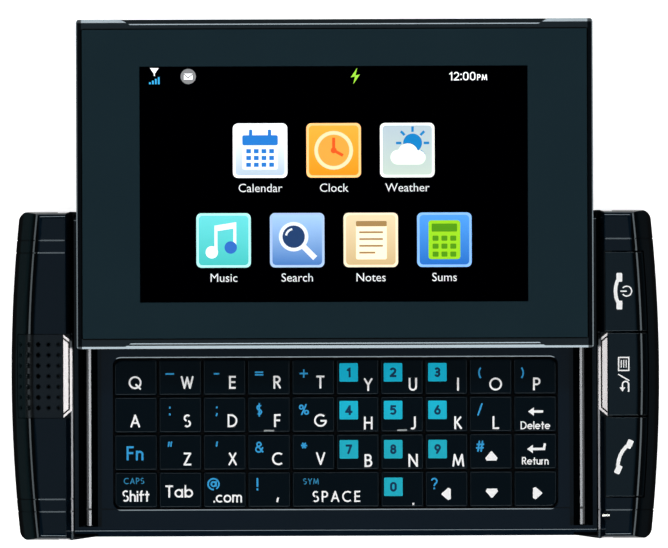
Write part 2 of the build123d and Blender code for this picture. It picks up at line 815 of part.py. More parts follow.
grille_ys = [(row - (grille_rows - 1) / 2) * grille_pitch_y for row in range(grille_rows)]


def bevel_point(run, y):
    """A point on the outer slope, run outwards from the ridge, at y."""
    edge_x = base_half_length - end_bow * (y / (base_depth / 2)) ** 2
    return (edge_x - bevel_run + run, y, bar_top - bevel_rise * run / bevel_run)


slope_lean = Vector(bevel_rise, 0, bevel_run).normalized()
ridge_lean = (slope_lean + Vector(0, 0, 1)).normalized()
ridge_cut_back = ridge_radius * (1 / ridge_lean.Z - 1)


def ridge_point(y):
    """The middle of the rolled ridge at y: the sharp ridge, moved back to the roll's surface."""
    return Vector(*bevel_point(0, y)) - ridge_lean * ridge_cut_back


with BuildPart() as earpiece_grille:
    add(end_block())
    with BuildSketch(Plane.XY.offset(pocket_floor)):
        add(band(grille_edge_inset + seat_gap, patch_inner, -strip_half, strip_half))
    extrude(amount=pocket_depth, mode=Mode.INTERSECT)
    with Locations(*[
        (patch_inner + grille_first_column + column * grille_pitch_x, y, bar_top)
        for column in range(grille_columns) for y in grille_ys
    ]):
        CounterSinkHole(grille_hole_radius, grille_sink_radius, depth=pocket_depth)
    with Locations(*[
        Plane(origin=bevel_point(grille_slope_column, y), z_dir=(bevel_rise, 0, bevel_run)) for y in grille_ys
    ]):
        CounterSinkHole(grille_hole_radius, grille_sink_radius, depth=grille_sink_radius)
    # the column on the ridge leans half as far as the slope
    with Locations(*[Plane(origin=ridge_point(y), z_dir=ridge_lean) for y in grille_ys]):
        CounterSinkHole(grille_hole_radius, grille_sink_radius, depth=grille_sink_radius)
save(mirror(earpiece_grille.part, about=Plane.YZ, mode=Mode.PRIVATE), "earpiece_grille")

with BuildPart() as earpiece_speaker:
    with BuildSketch(Plane.XY.offset(shelf_bottom - seat_gap - earpiece_thickness)):
        with Locations((-bar_inner - bar_width / 2, 0)):
            RectangleRounded(earpiece_width, earpiece_length, base_corner_radius)
    extrude(amount=earpiece_thickness)
save(earpiece_speaker.part, "earpiece_speaker")

def strip_outline(inset):
    """The trim strip in plan, its inner edge and angled ends drawn in by inset."""
    with BuildSketch() as outline:
        with BuildLine():
            Polyline(
                (strip_inner, strip_chamfer - strip_half), (strip_inner, strip_half - strip_chamfer),
                (strip_outer + strip_width, strip_half + strip_chamfer),
                (strip_outer + strip_width, -strip_half - strip_chamfer), close=True,
            )
        make_face()
        if inset:
            offset(amount=-inset, kind=Kind.INTERSECTION)
        with Locations(((strip_inner + strip_outer) / 2, 0)):
            Rectangle(strip_width, 2 * strip_half, mode=Mode.INTERSECT)
    return outline.sketch


with BuildPart() as trim_strips:
    with BuildSketch(Plane.XZ):
        with BuildLine():
            Polyline(
                (strip_outer, pocket_floor), (strip_outer, bar_top),
                (strip_inner, bar_top - strip_width * bevel_slope), (strip_inner, pocket_floor), close=True,
            )
        make_face()
    extrude(amount=strip_half, both=True)
    with BuildSketch(Plane.XY.offset(pocket_floor)):
        add(strip_outline(0))
    extrude(amount=pocket_depth, mode=Mode.INTERSECT)
    # a groove follows the inner edge and leaves a narrow lip along it
    with BuildSketch(Plane.XY.offset(bar_top - strip_width * bevel_slope - strip_groove_depth)):
        add(strip_outline(strip_lip_width))
        add(strip_outline(strip_lip_width + strip_groove_width), mode=Mode.SUBTRACT)
    extrude(amount=pocket_depth, mode=Mode.SUBTRACT)
    mirror(about=Plane.YZ)
save(trim_strips.part, "trim_strips")

# ---- front keys ---------------------------------------------------------------------------------

front_keys = (
    ("end_key", key_bank_inner, menu_key_half, front_key_bank),
    ("menu_key", strip_outer + front_key_clearance, -menu_key_half, menu_key_half),
    ("send_key", key_bank_inner, -front_key_bank, -menu_key_half),
)
for name, inner_x, low_y, high_y in front_keys:
    with BuildPart() as front_key:
        add(end_block())
        with BuildSketch(Plane.XY.offset(front_key_bottom)):
            add(band(front_key_edge_inset, inner_x, low_y + key_gap / 2, high_y - key_gap / 2))
        extrude(amount=pocket_depth, mode=Mode.INTERSECT)
        fillet(front_key.edges().group_by(Axis.Z)[-1].filter_by(Axis.X), front_key_edge_radius)
    save(front_key.part, name)

# ---- display slab -------------------------------------------------------------------------------

plate_low_y = slab_low_y + plate_edge_margin
lip_tip = rail_outer - runner_lip_reach

with BuildPart() as slide_plate:
    with BuildSketch(Plane.XY.offset(slab_bottom)):
        with Locations((0, plate_low_y + slide_plate_depth / 2)):
            RectangleRounded(2 * runner_outer, slide_plate_depth, slab_corner_radius)
    extrude(amount=slide_plate_thickness)
    # folded runners that hook under the rails' flanges
    with BuildSketch(Plane.XY.offset(lip_bottom)):
        with Locations((0, runner_top_y - runner_length / 2)):
            with GridLocations(runner_inner + runner_outer, 0, 2, 1):
                Rectangle(slide_plate_thickness, runner_length)
    extrude(amount=slab_bottom - lip_bottom)
    with BuildSketch(Plane.XY.offset(lip_bottom)):
        with Locations((0, runner_top_y - runner_length / 2)):
            with GridLocations(lip_tip + runner_outer, 0, 2, 1):
                Rectangle(runner_outer - lip_tip, runner_length)
    extrude(amount=runner_lip_thickness)
save(slide_plate.part, "slide_plate")


def bevelled_section(low, high, low_bevel, high_bevel):
    """A section with a shallow bevel at each top corner of the slab, run on past it all round."""
    low_start, low_stop = low - bevel_overrun, low + low_bevel + bevel_overrun
    high_start, high_stop = high + bevel_overrun, high - high_bevel - bevel_overrun
    with BuildSketch() as section:
        with BuildLine():
            Polyline(
                (low_start, 0), (low_start, slab_top - (low_bevel + bevel_overrun) * bevel_slope),
                (low_stop, slab_top + bevel_overrun * bevel_slope),
                (high_stop, slab_top + bevel_overrun * bevel_slope),
                (high_start, slab_top - (high_bevel + bevel_overrun) * bevel_slope), (high_start, 0),
                close=True,
            )
        make_face()
    return section.sketch


def scoop(side, drop, floor_fall):
    """The cutter for the finger scoop along one long edge: side is 1 for the far edge.

    Its lip is bevelled, its wall goes down by drop, and the outer part of its floor falls away by
    floor_fall.
    """
    edge_y = slab_high_y if side == 1 else slab_low_y
    wall_y = edge_y - side * (scoop_bite - scoop_lip_bevel)
    outside_y = edge_y + side * scoop_bite
    with BuildPart() as cutter:
        with BuildSketch(Plane.YZ.offset(-scoop_half_length)):
            with BuildLine():
                Polyline(
                    (edge_y - side * scoop_bite, slab_top), (wall_y, slab_top - scoop_lip_bevel * bevel_slope),
                    (wall_y, slab_top - drop), (edge_y - side * scoop_floor_slope_width, slab_top - drop),
                    (edge_y, slab_top - drop - floor_fall), (outside_y, slab_top - drop - floor_fall),
                    (outside_y, slab_top), close=True,
                )
            make_face()
        extrude(amount=2 * scoop_half_length)
        with BuildSketch(Plane.XY.offset(slab_bottom)):
            with BuildLine():
                Polyline(
                    (-scoop_half_length, edge_y),
                    (scoop_run - scoop_half_length, edge_y - side * scoop_bite),
                    (scoop_half_length - scoop_run, edge_y - side * scoop_bite), (scoop_half_length, edge_y),
                    (scoop_half_length, outside_y), (-scoop_half_length, outside_y), close=True,
                )
            make_face()
        extrude(amount=slab_top, mode=Mode.INTERSECT)
    return cutter.part


with BuildPart() as display_frame:
    with BuildSketch(Plane.XY.offset(slab_bottom)):
        with Locations((0, travel)):
            RectangleRounded(2 * slab_half_length, slab_depth, slab_corner_radius)
    extrude(amount=slab_top - slab_bottom)
    with BuildSketch(Plane.YZ.offset(-base_half_length)):
        add(bevelled_section(slab_low_y, slab_high_y, slab_near_bevel, slab_far_bevel))
    extrude(amount=2 * base_half_length, mode=Mode.INTERSECT)
    with BuildSketch(Plane.XZ.offset(-2 * base_depth)):
        add(bevelled_section(-slab_half_length, slab_half_length, slab_end_bevel, slab_end_bevel))
    extrude(amount=3 * base_depth, mode=Mode.INTERSECT)
    with BuildSketch(Plane.XY.offset(slab_bottom)):
        with Locations((0, plate_low_y + slide_plate_depth / 2)):
            Rectangle(2 * slab_half_length, slide_plate_depth + 2 * seat_gap)
    extrude(amount=slide_plate_thickness, mode=Mode.SUBTRACT)
    add(scoop(-1, near_scoop_drop, scoop_floor_slope_width * bevel_slope), mode=Mode.SUBTRACT)
    add(scoop(1, far_scoop_drop, 0), mode=Mode.SUBTRACT)
    with BuildSketch(Plane.XY.offset(panel_bottom - panel_gap)):
        with Locations((0, travel)):
            RectangleRounded(well_length, well_depth, window_corner_radius)
    extrude(amount=window_bottom, mode=Mode.SUBTRACT)
    with BuildSketch(Plane.XY.offset(window_bottom)):
        with Locations((0, travel)):
            RectangleRounded(window_length, window_depth, window_corner_radius)
    extrude(amount=window_thickness, mode=Mode.SUBTRACT)
save(display_frame.part, "display_frame")

with BuildPart() as display_panel:
    with BuildSketch(Plane.XY.offset(panel_bottom)):
        with Locations((0, travel)):
            RectangleRounded(panel_length, panel_depth, window_corner_radius)
    extrude(amount=panel_thickness)
save(display_panel.part, "display_panel")

with BuildPart() as touch_window:
    with BuildSketch(Plane.XY.offset(window_bottom)):
        with Locations((0, travel)):
            RectangleRounded(
                window_length - 2 * window_fit, window_depth - 2 * window_fit, window_corner_radius
            )
    extrude(amount=window_thickness)
    chamfer(touch_window.edges().group_by(Axis.Z)[-1], window_fit)
save(touch_window.part, "touch_window")
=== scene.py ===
"""A slider phone on its back with its display slid up: finishes, legends, lit screen and studio."""
import math

import bpy
from mathutils import Matrix, Vector


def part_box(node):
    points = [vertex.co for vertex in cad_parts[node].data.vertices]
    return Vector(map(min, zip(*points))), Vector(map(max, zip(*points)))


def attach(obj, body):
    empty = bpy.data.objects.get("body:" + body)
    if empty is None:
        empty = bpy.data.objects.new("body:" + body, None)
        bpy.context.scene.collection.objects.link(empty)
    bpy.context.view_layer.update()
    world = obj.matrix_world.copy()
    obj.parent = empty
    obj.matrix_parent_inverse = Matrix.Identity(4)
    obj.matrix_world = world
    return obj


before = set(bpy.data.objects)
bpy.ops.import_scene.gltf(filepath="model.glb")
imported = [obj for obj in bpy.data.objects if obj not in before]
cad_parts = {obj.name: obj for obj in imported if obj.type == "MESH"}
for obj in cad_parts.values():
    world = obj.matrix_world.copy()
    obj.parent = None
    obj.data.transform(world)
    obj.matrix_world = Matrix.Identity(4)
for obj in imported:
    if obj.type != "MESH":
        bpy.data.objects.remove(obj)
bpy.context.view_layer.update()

bpy.ops.object.select_all(action="DESELECT")

# ---- Rear housing -------------------------------------------------------------------------------
# The lower shell: one moulding in black glass-filled plastic, spark-eroded to a fine satin grain.
# It lies on the table and carries everything else; the covers close on to its rim.

mm = 0.001
housing_black = "101418"
housing_handled = "171b20"
grain_size = 0.16 * mm
grain_depth = 0.004 * mm
handling_size = 14 * mm
noise_low, noise_high = 0.3, 0.7


def colour(code):
    """The linear colour that shows as this six-figure screen colour."""
    parts = [int(code[place:place + 2], 16) / 255 for place in (0, 2, 4)]
    return [part / 12.92 if part <= 0.04045 else ((part + 0.055) / 1.055) ** 2.4 for part in parts]


def shader_of(material):
    """The one shader that a finish is built on."""
    return material.node_tree.nodes["Principled BSDF"]


def finish(name, code, roughness, metallic=0.0, specular=0.5, sheen=None):
    """A new material with its plain values set on its shader; sheen tints what it reflects."""
    material = bpy.data.materials.new(name)
    material.use_nodes = True
    shader = shader_of(material)
    shader.inputs["Base Color"].default_value = (*colour(code), 1)
    shader.inputs["Roughness"].default_value = roughness
    shader.inputs["Metallic"].default_value = metallic
    shader.inputs["Specular IOR Level"].default_value = specular
    if sheen is not None:
        shader.inputs["Specular Tint"].default_value = (*colour(sheen), 1)
    return material


def noise(material, size, stretch=(1, 1, 1), detail=2.0):
    """Cloudy noise with lumps of that size, longer where stretch says so; gives its output."""
    nodes, links = material.node_tree.nodes, material.node_tree.links
    texture = nodes.new("ShaderNodeTexNoise")
    texture.inputs["Scale"].default_value = 1.0
    texture.inputs["Detail"].default_value = detail
    mapping = nodes.new("ShaderNodeMapping")
    mapping.inputs["Scale"].default_value = [1 / (size * along) for along in stretch]
    links.new(nodes.new("ShaderNodeTexCoord").outputs["Object"], mapping.inputs["Vector"])
    links.new(mapping.outputs["Vector"], texture.inputs["Vector"])
    return texture.outputs["Fac"]


def mapped(owner, value, low, high, to_low=0.0, to_high=1.0):
    """The value, with its range from low to high run on to another one and held at its ends."""
    spread = owner.node_tree.nodes.new("ShaderNodeMapRange")
    ends = {"From Min": low, "From Max": high, "To Min": to_low, "To Max": to_high}
    for end, number in ends.items():
        spread.inputs[end].default_value = number
    owner.node_tree.links.new(value, spread.inputs["Value"])
    return spread.outputs["Result"]


def roughen(material, pattern, low, high):
    """Roughness runs from low to high with the pattern."""
    spread = mapped(material, pattern, noise_low, noise_high, low, high)
    material.node_tree.links.new(spread, shader_of(material).inputs["Roughness"])


def tint(material, pattern, code):
    """Where the pattern is 1, the colour so far gives way to this one."""
    nodes, links = material.node_tree.nodes, material.node_tree.links
    base = shader_of(material).inputs["Base Color"]
    blend = nodes.new("ShaderNodeMix")
    blend.data_type = "RGBA"
    if base.is_linked:
        links.new(base.links[0].from_socket, blend.inputs["A"])
    else:
        blend.inputs["A"].default_value = base.default_value
    blend.inputs["B"].default_value = (*colour(code), 1)
    links.new(pattern, blend.inputs["Factor"])
    links.new(blend.outputs["Result"], base)


def emboss(material, pattern, depth):
    """The pattern stands up from the surface by that depth."""
    nodes, links = material.node_tree.nodes, material.node_tree.links
    normal = shader_of(material).inputs["Normal"]
    bump = nodes.new("ShaderNodeBump")
    bump.inputs["Distance"].default_value = depth
    if normal.is_linked:
        links.new(normal.links[0].from_socket, bump.inputs["Normal"])
    links.new(pattern, bump.inputs["Height"])
    links.new(bump.outputs["Normal"], normal)


def dress(material, *nodes):
    """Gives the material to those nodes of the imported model."""
    for name in nodes:
        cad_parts[name].material_slots[0].material = material


def satin_plastic(name, code, handled):
    """Satin moulded plastic: a spark-eroded grain, a little lighter where hands have polished it."""
    material = finish(name, code, 0.5, specular=0.25)
    handling = noise(material, handling_size)
    tint(material, handling, handled)
    roughen(material, handling, 0.42, 0.6)
    emboss(material, noise(material, grain_size), grain_depth)
    return material


dress(satin_plastic("housing_plastic", housing_black, housing_handled), "rear_housing")

# ---- Main board ---------------------------------------------------------------------------------
# A glass-fibre board under dark green solder mask, with the tinned screening can and the steel
# shell of the charging socket soldered under it. It lies inside the rear housing.

solder_mask = "0c3a22"
copper_under_mask = "15543a"
tinned_steel = "a9aca9"
track_pitch = 0.9 * mm
board_underside = 6.55 * mm
mask_edge = 0.02 * mm


def above(material, axis, level, blur=mask_edge):
    """A mask that goes from 0 to 1 as the coordinate on that axis passes the level."""
    nodes, links = material.node_tree.nodes, material.node_tree.links
    split = nodes.new("ShaderNodeSeparateXYZ")
    links.new(nodes.new("ShaderNodeTexCoord").outputs["Object"], split.inputs["Vector"])
    return mapped(material, split.outputs[axis], level - blur / 2, level + blur / 2)


def calculate(material, operation, first, second=None):
    """One Math node; each input is an output of another node or a plain number."""
    nodes, links = material.node_tree.nodes, material.node_tree.links
    sums = nodes.new("ShaderNodeMath")
    sums.operation = operation
    for place, value in enumerate((first, second)):
        if value is None:
            continue
        if isinstance(value, (int, float)):
            sums.inputs[place].default_value = value
        else:
            links.new(value, sums.inputs[place])
    return sums.outputs["Value"]


def below(material, axis, level, blur=mask_edge):
    """A mask that goes from 1 to 0 as the coordinate on that axis passes the level."""
    return calculate(material, "SUBTRACT", 1.0, above(material, axis, level, blur))


def both(material, mask, *others):
    """A mask that is 1 only where all of these are."""
    for other in others:
        mask = calculate(material, "MULTIPLY", mask, other)
    return mask


def between(material, axis, low, high, blur=mask_edge):
    """A mask that is 1 from one coordinate on that axis to another, and 0 outside them."""
    return both(material, above(material, axis, low, blur), below(material, axis, high, blur))


def bare_metal(material, pattern):
    """The finish is metal where the pattern is 1."""
    material.node_tree.links.new(pattern, shader_of(material).inputs["Metallic"])


board_finish = finish("solder_mask", solder_mask, 0.35)
tracks = noise(board_finish, track_pitch, stretch=(0.4, 3, 1))
tint(board_finish, tracks, copper_under_mask)
emboss(board_finish, tracks, 0.02 * mm)
below_board = below(board_finish, "Z", board_underside)
tint(board_finish, below_board, tinned_steel)
bare_metal(board_finish, below_board)
dress(board_finish, "main_board")

# ---- Battery ------------------------------------------------------------------------------------
# A flat cell in an aluminium can, wrapped in a plain pale sleeve with black ends. It drops into the
# tub under the door, with three gilt contacts in its lower face near one end.

sleeve_grey = "b9bcc0"
sleeve_shade = "a8acb1"
end_cap_black = "17181a"
gilt = "c9a24a"
end_cap_width = 3.2 * mm
contact_size = (1.6 * mm, 2.6 * mm, 0.25 * mm)
contact_pitch = 3.4 * mm
contact_inset, contact_sink = 0.6 * mm, 0.08 * mm
contact_edge_radius = 0.1 * mm

battery_low, battery_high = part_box("battery")
cell_finish = finish("battery_sleeve", sleeve_grey, 0.45)
tint(cell_finish, noise(cell_finish, 6 * mm), sleeve_shade)
roughen(cell_finish, noise(cell_finish, 0.5 * mm, stretch=(1, 8, 1)), 0.38, 0.5)
tint(cell_finish, above(cell_finish, "X", battery_high.x - end_cap_width, 0.05 * mm), end_cap_black)
tint(cell_finish, below(cell_finish, "X", battery_low.x + end_cap_width, 0.05 * mm), end_cap_black)
dress(cell_finish, "battery")

gilding = finish("contact_gilt", gilt, 0.25, metallic=1.0)
roughen(gilding, noise(gilding, 0.4 * mm), 0.18, 0.35)


def settle(piece, name, material, body):
    """A finished piece: its place goes into its mesh, and it gets its name, finish and body."""
    bpy.ops.object.select_all(action="DESELECT")
    piece.select_set(True)
    bpy.context.view_layer.objects.active = piece
    bpy.ops.object.transform_apply(location=True, rotation=True, scale=True)
    piece.name = name
    piece.data.name = name
    if material is not None:
        piece.data.materials.clear()
        piece.data.materials.append(material)
    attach(piece, body)


def gather(parts):
    """Joins objects into the first of them, which keeps each one's own finish."""
    bpy.ops.object.select_all(action="DESELECT")
    for part in parts:
        part.select_set(True)
    bpy.context.view_layer.objects.active = parts[0]
    if len(parts) > 1:
        bpy.ops.object.join()
    return bpy.context.active_object


def rounded_block(place, size, edge_radius, segments):
    """A box of that size about its place, with all its edges rounded."""
    bpy.ops.mesh.primitive_cube_add(size=1, location=place)
    box = bpy.context.active_object
    box.scale = size
    bpy.ops.object.transform_apply(location=False, rotation=False, scale=True)
    bpy.ops.object.mode_set(mode="EDIT")
    bpy.ops.mesh.select_all(action="SELECT")
    bpy.ops.mesh.bevel(offset=edge_radius, segments=segments)
    bpy.ops.object.mode_set(mode="OBJECT")
    return box


contact_x = battery_low.x + contact_size[0] / 2 + contact_inset
contact_y = (battery_low.y + battery_high.y) / 2
contacts = [
    rounded_block(
        (contact_x, contact_y + place * contact_pitch, battery_low.z + contact_sink),
        contact_size, contact_edge_radius, 2,
    )
    for place in (-1, 0, 1)
]
settle(gather(contacts), "battery_contacts", gilding, "base")

# ---- Battery door -------------------------------------------------------------------------------
# A thin moulded lid, flush with the back, in the housing's grained plastic but a shade darker.
# It rests on a ledge round the tub and is gripped by the slots near one end.

dress(satin_plastic("door_plastic", "0f1317", "161a1f"), "battery_door")

# ---- Housing screws -----------------------------------------------------------------------------
# Four cross-recessed screws in black-plated steel, sunk in counterbores at the corners of the back.
# They pass through the housing into bosses under the end covers.

screw_finish = finish("screw_plating", "3b3c3f", 0.35, metallic=1.0)
roughen(screw_finish, noise(screw_finish, 0.3 * mm), 0.28, 0.45)
tint(screw_finish, noise(screw_finish, 0.8 * mm), "54555a")
dress(screw_finish, "housing_screws")

# ---- Camera module ------------------------------------------------------------------------------
# A black stepped hood round a small coated lens, looking out through the back.
# The lens is polished glass with a violet-blue coating, seated at the bottom of the hood.

camera_finish = finish("camera_hood", "0a0b0d", 0.25, specular=0.5)
roughen(camera_finish, noise(camera_finish, 0.5 * mm), 0.2, 0.35)
emboss(camera_finish, noise(camera_finish, 0.2 * mm), 0.002 * mm)
dress(camera_finish, "camera_module")

lens_radius = 1.3 * mm
lens_rise = 0.25 * mm
hood_floor = 0.8 * mm
camera_low, camera_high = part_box("camera_module")
bpy.ops.mesh.primitive_uv_sphere_add(
    segments=48, ring_count=24, radius=lens_radius,
    location=((camera_low.x + camera_high.x) / 2, (camera_low.y + camera_high.y) / 2, hood_floor),
)
lens = bpy.context.active_object
lens.scale = (1, 1, lens_rise / lens_radius)
lens_finish = finish("lens_coating", "0b0714", 0.04, specular=0.8)
tint(lens_finish, noise(lens_finish, 1.4 * mm), "12283a")
shader_of(lens_finish).inputs["Coat Weight"].default_value = 1.0
settle(lens, "camera_lens", lens_finish, "base")
bpy.ops.object.shade_smooth()

# ---- Earpiece speaker and keypad mat ------------------------------------------------------------
# The speaker is a moulded frame with a woven dust cloth over its cone, under the left grille.
# The mat is one sheet of black silicone rubber with a boss under each key.

speaker_finish = finish("speaker_cloth", "1a1b1d", 0.7)
weave = noise(speaker_finish, 0.12 * mm, stretch=(1, 3, 1))
tint(speaker_finish, weave, "26282b")
emboss(speaker_finish, weave, 0.02 * mm)
dress(speaker_finish, "earpiece_speaker")

mat_finish = finish("silicone_rubber", "0e0f12", 0.6, specular=0.3)
tint(mat_finish, noise(mat_finish, 5 * mm), "16171b")
emboss(mat_finish, noise(mat_finish, 0.3 * mm), 0.005 * mm)
dress(mat_finish, "keypad_mat")

# ---- Keyboard deck ------------------------------------------------------------------------------
# The blue-black plate round the keyboard, moulded and polished to a piano gloss.
# A sunk channel at each end takes a rail; a scored line runs out from the keyboard's front edge.

deck_black = "04101a"
deck_blue = "06121e"
painted_channel_shade = "010203"
blue_sheen = "e4f6ff"
channel_inner, channel_top = 40.45 * mm, 9.1 * mm
polish_size = 2.2 * mm
polish_depth = 0.0012 * mm
gloss_mirror, channel_mirror = 0.4, 0.02


def gloss_plastic(name, code, other, low=0.05, high=0.1, specular=gloss_mirror, sheen=blue_sheen):
    """Polished plastic: a faint orange peel, and a haze of fine wiping marks in its gloss."""
    material = finish(name, code, low, specular=specular, sheen=sheen)
    tint(material, noise(material, handling_size), other)
    roughen(material, noise(material, handling_size / 3, stretch=(1, 0.5, 1), detail=6.0), low, high)
    emboss(material, noise(material, polish_size), polish_depth)
    return material


def outside(material, side, distance):
    """A mask of what is further out along X than that distance, on the right side or the left one."""
    return above(material, "X", distance) if side == 1 else below(material, "X", -distance)


def within(material, side, distance):
    """A mask of the rest: what isn't further out along X than that distance, on that side."""
    return outside(material, -side, -distance)


def polish(material, pattern, mirror, change):
    """The mirror strength changes by that much where the pattern is 1; gives its new output."""
    mirror = calculate(material, "ADD", calculate(material, "MULTIPLY", pattern, change), mirror)
    material.node_tree.links.new(mirror, shader_of(material).inputs["Specular IOR Level"])
    return mirror


deck_finish = gloss_plastic("deck_gloss", deck_black, deck_blue)
at_the_ends = calculate(
    deck_finish, "ADD", outside(deck_finish, 1, channel_inner), outside(deck_finish, -1, channel_inner)
)
# Painted shade: the sunk channels at the ends are painted near black and made to reflect very little.
in_channel = both(deck_finish, at_the_ends, below(deck_finish, "Z", channel_top, 0.1 * mm))
tint(deck_finish, in_channel, painted_channel_shade)
polish(deck_finish, in_channel, gloss_mirror, channel_mirror - gloss_mirror)
dress(deck_finish, "keyboard_deck")

# ---- Slide rails and slide plate ----------------------------------------------------------------
# The rails are drawn stainless steel, polished along their length. The plate is pressed steel in a
# black coat, fixed under the slab; its edges are folded into runners that hook under the rails.

rail_finish = finish("drawn_steel", "808285", 0.25, metallic=0.9)
drawing_marks = noise(rail_finish, 0.08 * mm, stretch=(1, 60, 1), detail=4.0)
tint(rail_finish, drawing_marks, "96989b")
roughen(rail_finish, drawing_marks, 0.2, 0.3)
emboss(rail_finish, drawing_marks, 0.001 * mm)
dress(rail_finish, "slide_rails")

plate_finish = finish("black_coated_steel", "16181a", 0.4)
roughen(plate_finish, noise(plate_finish, 3 * mm), 0.32, 0.5)
emboss(plate_finish, noise(plate_finish, 0.4 * mm), 0.003 * mm)
dress(plate_finish, "slide_plate")

# ---- End covers ---------------------------------------------------------------------------------
# The two raised bars that frame the phone: hollow mouldings in blue-black gloss, each with a wide
# flat top, a crisp ridge and a sloping outer face. The right one carries the steel lanyard pin.

bar_black = "040f18"
bar_blue = "06111b"
# Painted shade: from the ridge outwards each bar is painted near black, with a painted reflection band on
# the upper slope, lighter on the left bar than on the right.
painted_ridge_shade = "020304"
painted_slope_reflection = {-1: "0e1a1d", 1: "050b0f"}
bar_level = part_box("left_end_cover")[1].z
ridge_start, ridge_inner = bar_level - 0.03 * mm, 50.2 * mm
slope_top, slope_foot, slope_inner = 14.6 * mm, 12.4 * mm, 47 * mm
foot_low, foot_high, foot_outer, foot_end = 11.2 * mm, 11.45 * mm, 44.95 * mm, -26.4 * mm
mask_blur = 0.4 * mm
score_floor, score_top = bar_level - 0.055 * mm, bar_level - 0.006 * mm
slope_mirror, score_mirror = 0.005, 0.12
# Painted highlight: a bright grey metal line along the narrow foot of each bar's inner side.
painted_foot_highlight = "66676a"
pin_steel = "f0eee8"
pin_bottom = 14.35 * mm
pin_ends, pin_sides = (45.17 * mm, 46.43 * mm), (-24.17 * mm, -23.63 * mm)


def paint_slope_shade(material, side, mirror):
    """Outwards of the flat top: painted shade in near black over the ridge and slope, with a painted
    reflection band on the upper slope, and the slope made to reflect very little; gives its mirror.
    """
    past_ridge, past_top = outside(material, side, ridge_inner), outside(material, side, slope_inner)
    tint(material, both(material, past_ridge, below(material, "Z", ridge_start, 0.04 * mm)), painted_ridge_shade)
    sloping = both(material, past_top, below(material, "Z", slope_top, mask_blur))
    band = both(material, sloping, above(material, "Z", slope_foot, mask_blur))
    tint(material, band, painted_slope_reflection[side])
    return polish(material, sloping, mirror, slope_mirror - mirror)


def bar_gloss(name, side):
    """The bars' gloss, with the scored lines duller and a painted highlight in bright grey metal along the
    narrow foot of the inner side.
    """
    material = gloss_plastic(name, bar_black, bar_blue)
    strength = paint_slope_shade(material, side, gloss_mirror)
    scored = both(
        material, within(material, side, ridge_inner),
        between(material, "Z", score_floor, score_top, 0.005 * mm),
    )
    polish(material, scored, strength, score_mirror - gloss_mirror)
    foot_highlight = both(
        material, within(material, side, foot_outer), between(material, "Z", foot_low, foot_high),
        above(material, "Y", foot_end, 0.1 * mm),
    )
    tint(material, foot_highlight, painted_foot_highlight)
    bare_metal(material, foot_highlight)
    return material


dress(bar_gloss("left_bar_gloss", -1), "left_end_cover")

right_bar_finish = bar_gloss("right_bar_gloss", 1)
# The pin's steel joins the painted highlight on the foot.
right_foot_highlight = shader_of(right_bar_finish).inputs["Metallic"].links[0].from_socket
on_pin = both(
    right_bar_finish, between(right_bar_finish, "X", *pin_ends), between(right_bar_finish, "Y", *pin_sides),
    above(right_bar_finish, "Z", pin_bottom),
)
tint(right_bar_finish, on_pin, pin_steel)
bare_metal(right_bar_finish, calculate(right_bar_finish, "MAXIMUM", on_pin, right_foot_highlight))
dress(right_bar_finish, "right_end_cover")

# ---- Earpiece grille ----------------------------------------------------------------------------
# A separate satin insert in the left bar, dimpled in seven rows. The dimples on its flat top are
# pierced to let the earpiece's sound out; those on its ridge and slope are blind.

grille_mirror = 0.3
grille_finish = finish("grille_satin", "12181d", 0.3, specular=grille_mirror, sheen=blue_sheen)
tint(grille_finish, noise(grille_finish, 4 * mm), "151c22")
# Painted shade and a painted reflection band on the grille's ridge and slope, as on the bar.
paint_slope_shade(grille_finish, -1, grille_mirror)
emboss(grille_finish, noise(grille_finish, 0.14 * mm), 0.003 * mm)
dress(grille_finish, "earpiece_grille")

# ---- Trim strips --------------------------------------------------------------------------------
# A chrome-plated strip on the inner edge of each bar, with a fine groove along it and its ends cut
# back at an angle. It is bright plating over a moulded core, glued in a notch; the groove is black.

plated_down_to = 14.46 * mm
chrome = finish("bright_chrome", "bab7b7", 0.22, metallic=1.0)
plating = noise(chrome, 0.1 * mm, stretch=(1, 40, 1))
roughen(chrome, plating, 0.16, 0.26)
tint(chrome, noise(chrome, 3 * mm), "b4b0b2")
tint(chrome, below(chrome, "Z", plated_down_to, 0.04 * mm), "040506")
bare_metal(chrome, above(chrome, "Z", plated_down_to, 0.04 * mm))
dress(chrome, "trim_strips")

# ---- Front keys ---------------------------------------------------------------------------------
# Three call keys in blue-black gloss, a shade lighter than the right bar whose flat top and slope
# they follow. Their handset, list and return signs are printed in white ink.

front_key_finish = gloss_plastic("front_key_gloss", "08141b", "0a171f")
# Painted shade and a painted reflection band on the keys' ridge and slope, as on the bar.
paint_slope_shade(front_key_finish, 1, gloss_mirror)
dress(front_key_finish, "end_key", "menu_key", "send_key")

ink_thickness = 0.02 * mm
stroke_lap = 0.001 * mm
ink_white = "fdfdfd"


def ink(name, code, other):
    """Printing ink: a satin film that covers slightly unevenly."""
    material = finish(name, code, 0.4, specular=0.3)
    tint(material, noise(material, 0.6 * mm), other)
    roughen(material, noise(material, 0.3 * mm), 0.3, 0.45)
    return material


white_ink = ink("white_ink", ink_white, "f6f7f7")


# Flat shapes are drawn at z = 0, and printing lifts them to the face that they lie on.
def offset(centre, x, y):
    """A point x and y millimetres from another, in the plane."""
    return Vector((centre[0] + x * mm, centre[1] + y * mm))


def stroke(start, end, width, square=True):
    """A straight printed line; a square one runs half its width past both ends."""
    run = Vector(end) - Vector(start)
    length = run.length + (width if square else 0)
    middle = (Vector(start) + Vector(end)) / 2
    bpy.ops.mesh.primitive_plane_add(size=1, location=(middle.x, middle.y, 0))
    line = bpy.context.active_object
    line.scale = (length, width, 1)
    line.rotation_euler.z = math.atan2(run.y, run.x)
    bpy.ops.object.transform_apply(location=True, rotation=True, scale=True)
    return line


